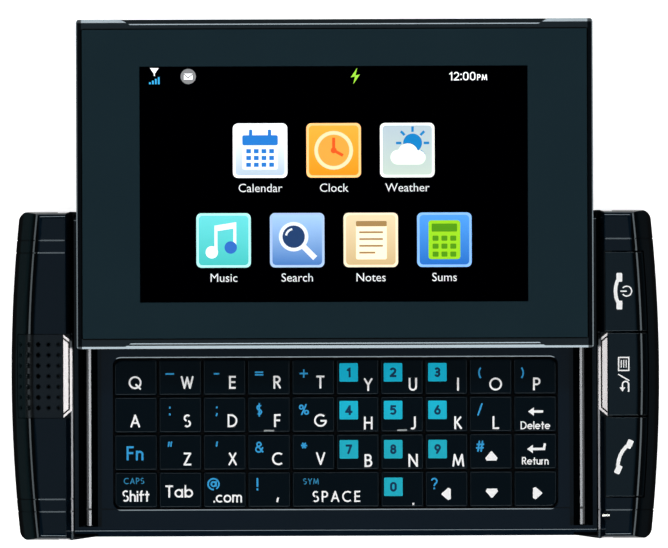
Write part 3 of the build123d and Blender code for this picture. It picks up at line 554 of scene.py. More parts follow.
def arc(centre, radius, first_angle, last_angle, width):
    """A printed line along part of a circle, from one angle to another in degrees."""
    steps = max(6, round(abs(last_angle - first_angle) / 12))
    bpy.ops.mesh.primitive_grid_add(x_subdivisions=steps, y_subdivisions=1, size=1)
    bend = bpy.context.active_object
    for vertex in bend.data.vertices:
        turn = math.radians(last_angle + (first_angle - last_angle) * (vertex.co.x + 0.5))
        reach = radius + vertex.co.y * width
        vertex.co = (centre[0] + reach * math.cos(turn), centre[1] + reach * math.sin(turn), 0)
    return bend


def disc(centre, radius):
    """A printed round spot."""
    bpy.ops.mesh.primitive_circle_add(
        vertices=32, radius=radius, fill_type="NGON", location=(centre[0], centre[1], 0)
    )
    bpy.ops.object.transform_apply(location=True, rotation=True, scale=True)
    return bpy.context.active_object


def panel(centre, size, corner_radius):
    """A printed rectangle with rounded corners."""
    bpy.ops.mesh.primitive_plane_add(size=1, location=(centre[0], centre[1], 0))
    plate = bpy.context.active_object
    plate.scale = (size[0], size[1], 1)
    bpy.ops.object.transform_apply(location=True, rotation=True, scale=True)
    if corner_radius:
        bpy.ops.object.mode_set(mode="EDIT")
        bpy.ops.mesh.select_all(action="SELECT")
        bpy.ops.mesh.bevel(offset=corner_radius, segments=6, affect="VERTICES")
        bpy.ops.object.mode_set(mode="OBJECT")
    return plate


def outline(centre, *corners):
    """A printed flat shape; each corner is x and y millimetres from the centre, in order round it."""
    bpy.ops.mesh.primitive_circle_add(vertices=len(corners), radius=1, fill_type="NGON")
    shape = bpy.context.active_object
    for vertex, corner in zip(shape.data.vertices, corners):
        vertex.co = (*offset(centre, *corner), 0)
    shape.data.update()
    return shape


def lapped(parts):
    """Lays each stroke a hair above the one before, so that two of them never share a face."""
    for place, part in enumerate(parts):
        part.location.z += place % 8 * stroke_lap
    return parts


def printed(parts, material, level, thickness=ink_thickness):
    """Joins flat shapes into one film of ink that stands up by its thickness from that level."""
    film = gather(lapped(parts))
    film.data.transform(Matrix.Translation((0, 0, level)))
    film.data.materials.clear()
    film.data.materials.append(material)
    for face in film.data.polygons:
        if face.normal.z < 0:
            face.flip()
    film.data.update()
    body = film.modifiers.new("body", "SOLIDIFY")
    body.thickness = thickness
    body.offset = 1.0
    bpy.ops.object.modifier_apply(modifier="body")
    return film


def handset(centre, lean):
    """A telephone handset sign, upright and open to the right, or leaning over by some degrees."""
    half_height, body_width, cup_length, cup_width = 3.1 * mm, 0.6 * mm, 1.5 * mm, 1.0 * mm
    bow_radius = 4.6 * mm
    half_turn = math.degrees(math.asin((half_height - cup_length / 2) / bow_radius))
    spine_x, cup_x, cup_corner = -0.55 * mm, 0.12 * mm, 0.2 * mm
    parts = [arc((spine_x + bow_radius, 0), bow_radius, 180 - half_turn, 180 + half_turn, body_width)]
    for side in (-1, 1):
        cup_y = side * (half_height - cup_length / 2)
        parts.append(panel((cup_x, cup_y), (cup_width, cup_length), cup_corner))
    sign = gather(lapped(parts))
    sign.rotation_euler.z = -math.radians(lean)
    sign.location = (centre[0], centre[1], 0)
    bpy.ops.object.transform_apply(location=True, rotation=True, scale=True)
    return sign


key_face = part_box("menu_key")[1].z
fine_line, list_line, turn_line = 0.22 * mm, 0.16 * mm, 0.26 * mm

handset_centre = Vector((48.07 * mm, 14.07 * mm))
power_ring_centre = Vector((49.43 * mm, 14.07 * mm))
power_ring_radius = 0.84 * mm
end_sign = [
    handset(handset_centre, 0),
    arc(power_ring_centre, power_ring_radius, -142, 142, fine_line),
    stroke(offset(power_ring_centre, -0.95, 0), offset(power_ring_centre, -0.1, 0), fine_line),
]
settle(printed(end_sign, white_ink, key_face), "sign_end_call", None, "end_key")

send_sign = [handset((48.75 * mm, -13.95 * mm), 24)]
settle(printed(send_sign, white_ink, key_face), "sign_send_call", None, "send_key")

# The middle key's signs, in millimetres: a ruled list, a slash and an arrow that turns back
menu_centre = Vector((48.88 * mm, 0))
list_centre, turn_centre = offset(menu_centre, 0, 1.73), offset(menu_centre, 0.3, -1.75)
half_width, half_height, rule_pitch, turn_radius = 0.86, 1.1, 0.42, 0.52
menu_sign = []
for side in (-1, 1):
    x, y = side * half_width, side * half_height
    menu_sign += [
        stroke(offset(list_centre, x, -half_height), offset(list_centre, x, half_height), fine_line),
        stroke(offset(list_centre, -half_width, y), offset(list_centre, half_width, y), fine_line),
    ]
for rule in (-1, 0, 1):
    x = rule * rule_pitch
    menu_sign.append(stroke(offset(list_centre, x, -0.55), offset(list_centre, x, 0.6), list_line))
menu_sign.append(stroke(offset(menu_centre, -0.85, -0.05), offset(menu_centre, 0.85, -1.05), fine_line))
menu_sign.append(arc(turn_centre, turn_radius * mm, 0, 180, turn_line))
for x, leg in ((turn_radius, -1.25), (-turn_radius, -0.55)):
    menu_sign.append(stroke(offset(turn_centre, x, 0), offset(turn_centre, x, leg), turn_line, square=False))
arrow_tip = offset(turn_centre, -turn_radius, -1.2)
menu_sign.append(outline(arrow_tip, (0, 0), (0.5, 0.72), (-0.5, 0.72)))
settle(printed(menu_sign, white_ink, key_face), "sign_menu_and_back", None, "menu_key")

# ---- Keyboard keys ------------------------------------------------------------------------------
# Thirty-nine close-fitting keys in near-black gloss plastic, each cap moulded with a soft edge and
# glued to a boss of the mat. Every key slides down a hair when it is pressed.

key_finish = gloss_plastic("key_gloss", "01090f", "030c14", low=0.1, high=0.2, specular=0.15)
key_names = [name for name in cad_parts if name.startswith("key_")]
dress(key_finish, *key_names)

# ---- Key legends --------------------------------------------------------------------------------
# Letters are pad-printed in white with a round geometric hand; second characters are blue, and the
# figures stand in cyan squares. Each legend is a film of ink on its own key.

# Each character is a set of strokes on a body one unit tall, centred on x = 0: four numbers are a
# line's two ends; five are an arc's centre, radius and first and last angle.
characters = {
    "A": [(-0.36, 0, 0, 1), (0, 1, 0.36, 0), (-0.23, 0.32, 0.23, 0.32)],
    "B": [(-0.24, 0, -0.24, 1), (-0.24, 1, 0, 1), (-0.24, 0.53, 0.03, 0.53), (-0.24, 0, 0.03, 0),
          (0, 0.765, 0.235, 90, -90), (0.03, 0.265, 0.265, 90, -90)],
    "C": [(0.1, 0.5, 0.5, 50, 310)],
    "D": [(-0.34, 0, -0.34, 1), (-0.34, 1, -0.12, 1), (-0.34, 0, -0.12, 0), (-0.12, 0.5, 0.5, 90, -90)],
    "E": [(-0.22, 0, -0.22, 1), (-0.22, 1, 0.22, 1), (-0.22, 0.52, 0.19, 0.52), (-0.22, 0, 0.22, 0)],
    "F": [(-0.2, 0, -0.2, 1), (-0.2, 1, 0.22, 1), (-0.2, 0.52, 0.18, 0.52)],
    "G": [(0, 0.5, 0.5, 48, 352), (0.08, 0.46, 0.48, 0.46)],
    "H": [(-0.31, 0, -0.31, 1), (0.31, 0, 0.31, 1), (-0.31, 0.53, 0.31, 0.53)],
    "I": [(0, 0, 0, 1)],
    "J": [(0.15, 0.2, 0.15, 1), (-0.06, 0.2, 0.21, 0, -130)],
    "K": [(-0.26, 0, -0.26, 1), (-0.2, 0.48, 0.22, 1), (-0.12, 0.56, 0.28, 0)],
    "L": [(-0.2, 0, -0.2, 1), (-0.2, 0, 0.22, 0)],
    "M": [(-0.45, 0, -0.33, 1), (-0.33, 1, 0, 0.1), (0, 0.1, 0.33, 1), (0.33, 1, 0.45, 0)],
    "N": [(-0.34, 0, -0.34, 1), (-0.34, 1, 0.34, 0), (0.34, 0, 0.34, 1)],
    "O": [(0, 0.5, 0.5, 0, 360)],
    "P": [(-0.24, 0, -0.24, 1), (-0.24, 1, 0, 1), (-0.24, 0.46, 0, 0.46), (0, 0.73, 0.27, 90, -90)],
    "Q": [(0, 0.5, 0.5, 0, 360), (0.1, 0.3, 0.46, -0.06)],
    "R": [(-0.24, 0, -0.24, 1), (-0.24, 1, 0, 1), (-0.24, 0.5, 0, 0.5), (0, 0.75, 0.25, 90, -90),
          (-0.02, 0.5, 0.28, 0)],
    "S": [(0, 0.75, 0.25, 40, 255), (0, 0.25, 0.25, 75, -140)],
    "T": [(0, 0, 0, 1), (-0.28, 1, 0.28, 1)],
    "U": [(-0.29, 0.29, -0.29, 1), (0.29, 0.29, 0.29, 1), (0, 0.29, 0.29, 180, 360)],
    "V": [(-0.34, 1, 0, 0), (0, 0, 0.34, 1)],
    "W": [(-0.5, 1, -0.25, 0), (-0.25, 0, 0, 0.95), (0, 0.95, 0.25, 0), (0.25, 0, 0.5, 1)],
    "X": [(-0.3, 0, 0.27, 1), (-0.27, 1, 0.3, 0)],
    "Y": [(-0.31, 1, 0, 0.46), (0, 0.46, 0.31, 1), (0, 0, 0, 0.46)],
    "Z": [(-0.25, 1, 0.25, 1), (0.25, 1, -0.27, 0), (-0.27, 0, 0.27, 0)],
    "a": [(0, 0.32, 0.32, 0, 360), (0.32, 0, 0.32, 0.64)],
    "b": [(0, 0.32, 0.32, 0, 360), (-0.32, 0, -0.32, 1)],
    "c": [(0, 0.32, 0.32, 48, 312)],
    "e": [(0, 0.32, 0.32, 0, 318), (-0.3, 0.34, 0.3, 0.34)],
    "f": [(-0.05, 0, -0.05, 0.85), (0.11, 0.85, 0.16, 180, 90), (-0.18, 0.62, 0.16, 0.62)],
    "h": [(-0.23, 0, -0.23, 1), (0, 0.4, 0.23, 180, 0), (0.23, 0, 0.23, 0.4)],
    "i": [(0, 0, 0, 0.64), (0, 0.9, 0, 0.92)],
    "l": [(0, 0, 0, 1)],
    "m": [(-0.42, 0, -0.42, 0.64), (-0.21, 0.43, 0.21, 180, 0), (0, 0, 0, 0.43), (0.21, 0.43, 0.21, 180, 0),
          (0.42, 0, 0.42, 0.43)],
    "n": [(-0.23, 0, -0.23, 0.64), (0, 0.4, 0.23, 180, 0), (0.23, 0, 0.23, 0.4)],
    "o": [(0, 0.32, 0.32, 0, 360)],
    "r": [(-0.1, 0, -0.1, 0.64), (0.1, 0.44, 0.2, 180, 75)],
    "t": [(0, 0, 0, 0.92), (-0.15, 0.64, 0.15, 0.64)],
    "u": [(-0.23, 0.23, -0.23, 0.64), (0.23, 0, 0.23, 0.64), (0, 0.23, 0.23, 180, 360)],
    "0": [(0, 0.7, 0.3, 0, 180), (0, 0.3, 0.3, 180, 360), (-0.3, 0.3, -0.3, 0.7), (0.3, 0.3, 0.3, 0.7)],
    "1": [(0.05, 0, 0.05, 1), (-0.2, 0.8, 0.05, 0.98)],
    "2": [(0, 0.7, 0.3, 165, -35), (0.25, 0.53, -0.28, 0), (-0.28, 0, 0.3, 0)],
    "3": [(-0.02, 0.755, 0.245, 165, -90), (-0.02, 0.26, 0.26, 90, -165), (-0.08, 0.51, 0.02, 0.51)],
    "4": [(0.12, 0, 0.12, 1), (0.12, 1, -0.34, 0.28), (-0.34, 0.28, 0.34, 0.28)],
    "5": [(-0.2, 1, 0.25, 1), (-0.2, 1, -0.24, 0.56), (-0.02, 0.32, 0.32, 130, -145)],
    "6": [(0, 0.3, 0.3, 0, 360), (-0.27, 0.42, 0.08, 1)],
    "7": [(-0.28, 1, 0.28, 1), (0.28, 1, -0.08, 0)],
    "8": [(0, 0.76, 0.24, 0, 360), (0, 0.27, 0.27, 0, 360)],
    "9": [(0, 0.7, 0.3, 0, 360), (0.27, 0.58, -0.08, 0)],
    ".": [(0, 0, 0, 0.02)],
    ",": [(0.03, 0.16, -0.05, -0.12)],
    "-": [(-0.2, 0.4, 0.2, 0.4)],
    "_": [(-0.36, 0.4, 0.36, 0.4)],
    "+": [(-0.34, 0.4, 0.34, 0.4), (0, 0.06, 0, 0.74)],
    "=": [(-0.34, 0.28, 0.34, 0.28), (-0.34, 0.54, 0.34, 0.54)],
    ":": [(0, 0.04, 0, 0.08), (0, 0.72, 0, 0.76)],
    ";": [(0.02, 0.1, -0.05, -0.08), (0, 0.72, 0, 0.76)],
    "$": [(0, 0.7, 0.22, 40, 255), (0, 0.27, 0.22, 75, -140), (0, -0.12, 0, 1.08)],
    "%": [(-0.26, 0.74, 0.18, 0, 360), (0.26, 0.22, 0.18, 0, 360), (-0.22, 0, 0.22, 1)],
    "(": [(0.62, 0.4, 0.82, 140, 220)],
    ")": [(-0.62, 0.4, 0.82, 40, -40)],
    "/": [(-0.18, -0.1, 0.2, 1)],
    '"': [(-0.11, 0.62, -0.05, 1), (0.13, 0.62, 0.19, 1)],
    "'": [(-0.02, 0.62, 0.04, 1)],
    "&": [(-0.02, 0.76, 0.2, -40, 220), (-0.15, 0.6, 0.36, 0), (-0.06, 0.25, 0.27, 115, 330),
          (0.16, 0.1, 0.34, 0.4), (0.12, 0.64, -0.18, 0.48)],
    "*": [(-0.24, 0.62, 0.24, 0.62), (-0.13, 0.4, 0.13, 0.84), (-0.13, 0.84, 0.13, 0.4)],
    "#": [(-0.2, 0, -0.06, 1), (0.12, 0, 0.26, 1), (-0.32, 0.33, 0.3, 0.33), (-0.26, 0.68, 0.36, 0.68)],
    "@": [(0, 0.45, 0.55, -60, 275), (0, 0.45, 0.22, 0, 360), (0.26, 0.26, 0.26, 0.66)],
    "!": [(0, 0.32, 0, 1), (0, 0, 0, 0.02)],
    "?": [(0, 0.74, 0.26, 170, -60), (0.1, 0.5, 0, 0.3), (0, 0, 0, 0.02)],
}
letter_gap = 0.2


def reach_of(character, weight):
    """The lowest and highest x of a character's ink, in body heights."""
    edges = []
    for line in characters[character]:
        if len(line) == 4:
            edges += [line[0], line[2]]
        else:
            angles = [line[3] + (line[4] - line[3]) * step / 12 for step in range(13)]
            edges += [line[0] + line[2] * math.cos(math.radians(angle)) for angle in angles]
    return min(edges) - weight / 2, max(edges) + weight / 2


def lettering(words, centre, height, weight, gap=letter_gap):
    """Flat strokes that spell the words, centred on a point; weight is the pen's width in heights."""
    body = height * (1 - weight)
    pen = height * weight
    spans = [reach_of(character, weight) for character in words]
    total = sum(high - low for low, high in spans) + gap * (len(words) - 1)
    cursor, parts = -total / 2, []
    for character, (low, high) in zip(words, spans):
        origin = Vector((centre[0] + (cursor - low) * body, centre[1] - body / 2))
        for line in characters[character]:
            start = origin + Vector(line[:2]) * body
            if len(line) == 4:
                end = origin + Vector(line[2:]) * body
                upright = line[0] == line[2] or line[1] == line[3]
                parts.append(stroke(start, end, pen, square=upright))
                if not upright:
                    parts += [disc(start, pen / 2), disc(end, pen / 2)]
            else:
                parts.append(arc(start, line[2] * body, line[3], line[4], pen))
        cursor += high - low + gap
    return parts


blue_ink = ink("blue_ink", "2f9ad8", "3aa4dc")
dim_ink = ink("dim_blue_ink", "2b7ea8", "3288b2")
navy_ink = ink("navy_ink", "0b3050", "0e3a5c")
square_ink = ink("cyan_ink", "1aaec4", "20b2c8")
# Painted light: the cyan squares are painted brighter and bluer towards the top row, against the shade that
# the slab casts there.
top_row_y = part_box("key_q")[0].y
tint(square_ink, above(square_ink, "Y", top_row_y - 2 * mm, 14 * mm), "0cc4e8")

# Each row's keys, and below each of its ten columns a white letter, a blue mark and a figure; the
# space key takes two columns
key_rows = [
    ([*"qwertyuiop"],
     "QWERTYUIOP",
     " _-=+   ()",
     "     123  "),
    ([*"asdfghjkl", "delete"],
     "ASDFGHJKL ",
     " :;$%   / ",
     "     456  "),
    (["fn", *"zxcvbnm", "up", "return"],
     " ZXCVBNM  ",
     " \"'&*   # ",
     "     789  "),
    (["shift", "tab", "dot_com", "comma", "space", None, "period", "left", "down", "right"],
     "   ,  .   ",
     "       ?  ",
     "      0   "),
]
# Places in millimetres from a key's centre: a shift along the row and a rise or drop across it
letter_shift = [-0.12, 1.2, 1.34, 1.42, 1.22, 1.8, 1.86, 2.0, 0.85, 0.3]
letter_drop = [0.85, 1.0, 1.12, 0.85]
right_half_drop = [0.45, 0.48, 0.37, 0.75]
mark_shift = [0, -1.76, -1.34, -1.65, -1.6, 0, 0, -2.1, -1.82, -2.15]
mark_rise = [0.78, 0.86, 0.9, 0.95]
square_shift, square_rise = -1.51, [0.76, 0.72, 0.43, 0.41]
square_side, square_corner = 3.15 * mm, 0.18 * mm
letter_height, letter_weight = 2.2 * mm, 0.145
mark_height, mark_weight = 1.95 * mm, 0.14
figure_height, figure_weight = 1.65 * mm, 0.22
second_layer = 0.012 * mm

# Words and the marks that stand apart: key, what it says, its place, height, gap and ink
word_legends = [
    ("delete", "Delete", (0.05, -1.95), 1.36, 0.1, white_ink),
    ("return", "Return", (0.0, -1.62), 1.32, 0.1, white_ink),
    ("fn", "Fn", (-0.17, -0.12), 2.4, 0.2, blue_ink),
    ("shift", "Shift", (-0.05, -1.0), 1.95, 0.1, white_ink),
    ("tab", "Tab", (-0.22, -0.25), 2.1, 0.16, white_ink),
    ("dot_com", ".com", (0.48, -1.2), 1.95, 0.1, white_ink),
    ("space", "SPACE", (0.1, -1.2), 1.9, 0.31, white_ink),
    ("shift", "CAPS", (-0.37, 1.55), 1.05, 0.24, dim_ink),
    ("space", "SYM", (-4.2, 1.38), 1.05, 0.24, dim_ink),
    ("dot_com", "@", (-1.92, 1.05), 1.95, 0.2, blue_ink),
    ("comma", "!", (-2.0, 0.92), 2.1, 0.2, blue_ink),
]
triangle_legends = [
    ("up", (0.1, -0.82), 90), ("left", (-0.05, -0.85), 180),
    ("down", (0.15, -0.7), 270), ("right", (0.34, -0.75), 0),
]
# Arrows that point left: key, the tip's shift, the length, and whether the tail turns up
arrow_legends = [("delete", -1.2, 2.55, False), ("return", -1.4, 2.9, True)]
arrow_rise, arrow_line = 0.38, 0.42 * mm


def key_place(key):
    """The centre of a key's top face."""
    low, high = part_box("key_" + key)
    return Vector(((low.x + high.x) / 2, (low.y + high.y) / 2, high.z))


def triangle(centre, heading):
    """A cursor key's arrowhead with blunt corners, turned to a heading in degrees."""
    tip, half_base, back = 0.8, 1.05, 0.75
    corners = [(tip, 0.12), (-back * 0.4, half_base), (-back, half_base * 0.8),
               (-back, -half_base * 0.8), (-back * 0.4, -half_base), (tip, -0.12)]
    across, up = math.cos(math.radians(heading)), math.sin(math.radians(heading))
    return outline(centre, *[(x * across - y * up, x * up + y * across) for x, y in corners])


films = {name[4:]: [] for name in key_names}


def print_on(key, parts, film, rise=0.0):
    """Prints flat shapes on a key's face, or that far above it."""
    films[key].append(printed(parts, film, key_place(key).z + rise))


for row, (keys, *row_legends) in enumerate(key_rows):
    for column, (key, letter, mark, figure) in enumerate(zip(keys, *row_legends)):
        if key is None:
            continue
        place = key_place(key)
        if letter.strip():
            drop = letter_drop[row] + (right_half_drop[row] if column > 4 else 0)
            at = offset(place, letter_shift[column], -drop)
            print_on(key, lettering(letter, at, letter_height, letter_weight), white_ink)
        if mark.strip():
            at = offset(place, mark_shift[column], mark_rise[row])
            print_on(key, lettering(mark, at, mark_height, mark_weight), blue_ink)
        if figure.strip():
            at = offset(place, square_shift, square_rise[row])
            print_on(key, [panel(at, (square_side, square_side), square_corner)], square_ink)
            print_on(key, lettering(figure, at, figure_height, figure_weight), navy_ink, second_layer)
for key, words, shift, height, gap, film in word_legends:
    at = offset(key_place(key), *shift)
    print_on(key, lettering(words, at, height * mm, letter_weight, gap), film)
for key, shift, heading in triangle_legends:
    print_on(key, [triangle(offset(key_place(key), *shift), heading)], white_ink)
for key, tip_shift, length, turned in arrow_legends:
    tip = offset(key_place(key), tip_shift, arrow_rise)
    head_back, tail = offset(tip, 1.0, 0), offset(tip, length, 0)
    arrow = [
        outline(tip, (0, 0), (1.0, 0.72), (1.0, -0.72)),
        stroke(head_back, tail, arrow_line, square=False),
    ]
    if turned:
        arrow.append(stroke(tail, offset(tail, 0.12, 0.75), arrow_line))
    print_on(key, arrow, white_ink)
for key, parts in films.items():
    settle(gather(parts), "legend_" + key, None, "key_" + key)

# ---- Home bars ----------------------------------------------------------------------------------
# A short rounded rib near the front edge of two keys tells the fingers where they are.
# Each is moulded with its cap; its pale grey is a painted highlight on its rounded top.

rib_length, rib_width, rib_height = 1.75 * mm, 0.3 * mm, 0.16 * mm
rib_drop = 2.72 * mm
rib_edge_radius = rib_height * 0.45
# Painted highlight: the rib's pale grey stands in for the light on it.
rib_painted_highlight = finish("rib_highlight_paint", "8d9496", 0.3)
tint(rib_painted_highlight, noise(rib_painted_highlight, 0.5 * mm), "a3a9aa")
for key in ("f", "j"):
    place = key_place(key)
    rib_place = (place.x, place.y - rib_drop, place.z + rib_height / 2)
    rib = rounded_block(rib_place, (rib_length, rib_width, rib_height), rib_edge_radius, 3)
    settle(rib, "home_bar_" + key, rib_painted_highlight, "key_" + key)

# ---- Display slab -------------------------------------------------------------------------------
# The frame is a dark blue-grey gloss moulding. It holds the display panel, and one hard-coated
# clear window covers its face, printed black over the picture and blue-grey round it.

slab_mirror, seam_mirror = 0.7, 0.1
seam_inner, seam_outer = 42.9 * mm, 43.6 * mm
frame_gloss = gloss_plastic("slab_gloss", "0b151b", "0e1a21", specular=slab_mirror)
# Painted shade: a dark band that reflects little, down each side of the frame beside the window.
seam_shade = calculate(
    frame_gloss, "ADD",
    between(frame_gloss, "X", seam_inner, seam_outer), between(frame_gloss, "X", -seam_outer, -seam_inner),
)
tint(frame_gloss, seam_shade, "04070b")
polish(frame_gloss, seam_shade, slab_mirror, seam_mirror - slab_mirror)
dress(frame_gloss, "display_frame")

panel_finish = finish("panel_bezel", "26282b", 0.35, metallic=0.6)
roughen(panel_finish, noise(panel_finish, 1.5 * mm, stretch=(6, 1, 1)), 0.3, 0.45)
dress(panel_finish, "display_panel")

border_blue = "17272e"
border_other = "1a2b32"
picture_black = "000001"
painted_rim_shade = "020405"
picture_low = Vector((-33.05 * mm, 12.4 * mm))
picture_high = Vector((32.75 * mm, 52.4 * mm))
picture_edge = 0.08 * mm
rim_shade_width = 0.16 * mm
window_mirror = 0.1

window_finish = gloss_plastic(
    "window_coat", border_blue, border_other, low=0.06, high=0.12, specular=window_mirror
)
inside = both(
    window_finish,
    between(window_finish, "X", picture_low.x, picture_high.x, picture_edge),
    between(window_finish, "Y", picture_low.y, picture_high.y, picture_edge),
)
tint(window_finish, inside, picture_black)
window_low, window_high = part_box("touch_window")
# Painted shade: a thin near-black line round the window's edge, where it meets the frame.
in_rim = both(
    window_finish,
    between(window_finish, "X", window_low.x + rim_shade_width, window_high.x - rim_shade_width),
    between(window_finish, "Y", window_low.y + rim_shade_width, window_high.y - rim_shade_width),
)
tint(window_finish, calculate(window_finish, "SUBTRACT", 1.0, in_rim), painted_rim_shade)
polish(window_finish, inside, window_mirror, -window_mirror)
dress(window_finish, "touch_window")

# ---- Screen picture -----------------------------------------------------------------------------
# What the lit display shows: a plain home screen of seven tiles with their names under them, and a
# status line. Each is a thin glowing layer that lies on the window over the picture area.

screen_level = window_high.z
glow_strength = 0.55
film_step = 0.008 * mm


def glow(name, low_code, high_code=None, low_y=0.0, high_y=1.0):
    """A lit colour, which may run to a second one from low_y to high_y."""
    material = finish(name, low_code, 0.15, specular=0.3)
    shader = shader_of(material)
    shader.inputs["Emission Strength"].default_value = glow_strength
    tint(material, above(material, "Y", (low_y + high_y) / 2, high_y - low_y), high_code or low_code)
    lit = shader.inputs["Base Color"].links[0].from_socket
    material.node_tree.links.new(lit, shader.inputs["Emission Color"])
    return material


tile_side = 9.24 * mm
tile_corner = 0.85 * mm
tile_rim = 0.42 * mm
tile_pitch = 12.47 * mm
upper_row_y, lower_row_y = 38.1 * mm, 22.9 * mm
row_middle_x = -0.15 * mm
label_drop = 6.4
label_height = 1.5 * mm
capital_share = 0.73

screen_white = glow("screen_white", "f2f4f6", "ffffff")
label_grey = glow("label_grey", "c8cacc", "d2d4d6")


def words_on_screen(words, centre, height, material):
    """Plain upright lettering on the screen, with capitals of that height, centred on a point."""
    bpy.ops.object.text_add(location=(centre[0], centre[1], screen_level))
    text = bpy.context.active_object
    text.data.body = words
    text.data.align_x = "CENTER"
    text.data.align_y = "CENTER"
    text.data.size = height / capital_share
    text.data.resolution_u = 3
    text.data.extrude = film_step
    bpy.ops.object.convert(target="MESH")
    text = bpy.context.active_object
    bpy.ops.object.transform_apply(location=True, rotation=True, scale=True)
    text.data.materials.clear()
    text.data.materials.append(material)
    return text


def layer(step, material, *parts):
    """One colour of the screen's picture; later steps lie on earlier ones."""
    return printed(parts, material, screen_level, thickness=film_step * (step + 1))


def block(centre, x, y, width, height, corner=0.0):
    """A rounded rectangle on the screen, all in millimetres from the centre."""
    return panel(offset(centre, x, y), (width * mm, height * mm), corner * mm)


def spot(centre, x, y, radius):
    """A round spot on the screen, all in millimetres from the centre."""
    return disc(offset(centre, x, y), radius * mm)


def line(centre, start, end, width):
    """A straight line on the screen, all in millimetres from the centre."""
    return stroke(offset(centre, *start), offset(centre, *end), width * mm)


def tile(name, column, row_y, columns, rim, low, high):
    """A rounded tile with a pale rim; gives its centre and its first two layers."""
    centre = Vector((row_middle_x + (column - (columns - 1) / 2) * tile_pitch, row_y))
    rim_glow = glow(name + "_rim", rim)
    face_glow = glow(name + "_face", low, high, centre.y - tile_side / 2, centre.y + tile_side / 2)
    inner = tile_side - 2 * tile_rim
    return centre, [
        layer(0, rim_glow, panel(centre, (tile_side, tile_side), tile_corner)),
        layer(1, face_glow, panel(centre, (inner, inner), tile_corner - tile_rim / 2)),
    ]


def finish_tile(name, label, centre, layers):
    """Joins a tile's layers and its name into one piece on the slab."""
    layers.append(words_on_screen(label, offset(centre, 0, -label_drop), label_height, label_grey))
    settle(gather(layers), name, None, "slab")


# calendar: a white page with a blue heading and a grid of days
centre, layers = tile("tile_calendar", 0, upper_row_y, 3, "f4f7fa", "a9bdcd", "eef2f6")
page_white, day_blue = glow("page_white", "e6eaee", "ffffff"), glow("day_blue", "1f6fc0", "3fa0e8")
layers.append(layer(2, page_white, block(centre, 0, -0.3, 6.0, 5.8, 0.35)))
days = [block(centre, 0, 1.75, 6.0, 1.7, 0.3)]
for column in range(4):
    for row in range(3):
        days.append(block(centre, -1.95 + 1.3 * column, -0.1 - 1.15 * row, 0.8, 0.7))
for x in (-1.6, 1.6):
    days.append(block(centre, x, 2.9, 0.55, 1.3, 0.2))
layers.append(layer(3, day_blue, *days))
finish_tile("tile_calendar", "Calendar", centre, layers)

# clock: a pale ring with red hands on orange
centre, layers = tile("tile_clock", 1, upper_row_y, 3, "fbc27e", "f08a14", "fba63a")
ring_peach, hand_red = glow("ring_peach", "fbd3a4", "ffe2c0"), glow("hand_red", "e8511c", "f0692c")
layers.append(layer(2, ring_peach, spot(centre, 0, 0, 3.3)))
layers.append(layer(3, glow("dial_orange", "f79a3c", "fbb568"), spot(centre, 0, 0, 2.65)))
hands = [
    line(centre, (0, 0), (0, 1.9), 0.5), line(centre, (0, 0), (1.35, -0.75), 0.5), spot(centre, 0, 0, 0.5),
]
layers.append(layer(4, hand_red, *hands))
finish_tile("tile_clock", "Clock", centre, layers)

# weather: a blue sun with rays behind a pale cloud, on pale grey-green
centre, layers = tile("tile_weather", 2, upper_row_y, 3, "eef2ee", "b9c9bd", "a8b9c4")
sun_blue, cloud_pale = glow("sun_blue", "0f74b4", "2a94d0"), glow("cloud_pale", "dfe6dc", "f4f7f2")
hub = offset(centre, 0.9, 1.2)
rays = [spot(hub, 0, 0, 1.6)]
for spoke in range(8):
    ray = Vector((math.cos(math.radians(45 * spoke)), math.sin(math.radians(45 * spoke))))
    rays.append(line(hub, ray * 2.1, ray * 2.6, 0.42))
layers.append(layer(2, sun_blue, *rays))
cloud = [
    spot(centre, -1.6, -1.2, 1.25), spot(centre, 0.1, -0.6, 1.75), spot(centre, 1.9, -1.25, 1.2),
    block(centre, 0.15, -1.85, 3.6, 1.2),
]
layers.append(layer(3, cloud_pale, *cloud))
finish_tile("tile_weather", "Weather", centre, layers)

# music: two joined notes in white and blue on teal
centre, layers = tile("tile_music", 0, lower_row_y, 4, "a6e0dc", "3fb3b0", "62ced0")
note_white, note_blue = glow("note_white", "e4eaee", "ffffff"), glow("note_blue", "2c62b4", "3f86d8")
stems = [
    line(centre, (-1.3, -1.7), (-1.3, 2.1), 0.5), line(centre, (1.9, -0.9), (1.9, 2.7), 0.5),
    outline(centre, (-1.55, 1.5), (2.15, 2.1), (2.15, 3.1), (-1.55, 2.5)),
]
layers.append(layer(2, note_white, *stems))
layers.append(layer(3, note_white, spot(centre, -2.0, -2.0, 1.05)))
layers.append(layer(3, note_blue, spot(centre, 1.2, -1.2, 1.05)))
finish_tile("tile_music", "Music", centre, layers)

# search: a magnifier over deep blue
centre, layers = tile("tile_search", 1, lower_row_y, 4, "9db8dc", "3a6cae", "9cc0e6")
glass_dark, rim_silver = glow("glass_dark", "1c3760", "2f5c96"), glow("rim_silver", "d8dee4", "fafcff")
lens_at = offset(centre, -0.6, 0.6)
magnifier = [spot(lens_at, 0, 0, 2.5), line(centre, (1.3, -1.3), (2.7, -2.7), 0.95)]
layers.append(layer(2, rim_silver, *magnifier))
layers.append(layer(3, glass_dark, spot(lens_at, 0, 0, 1.9)))
layers.append(layer(4, rim_silver, arc(lens_at, 1.3 * mm, 100, 170, 0.35 * mm)))
finish_tile("tile_search", "Search", centre, layers)

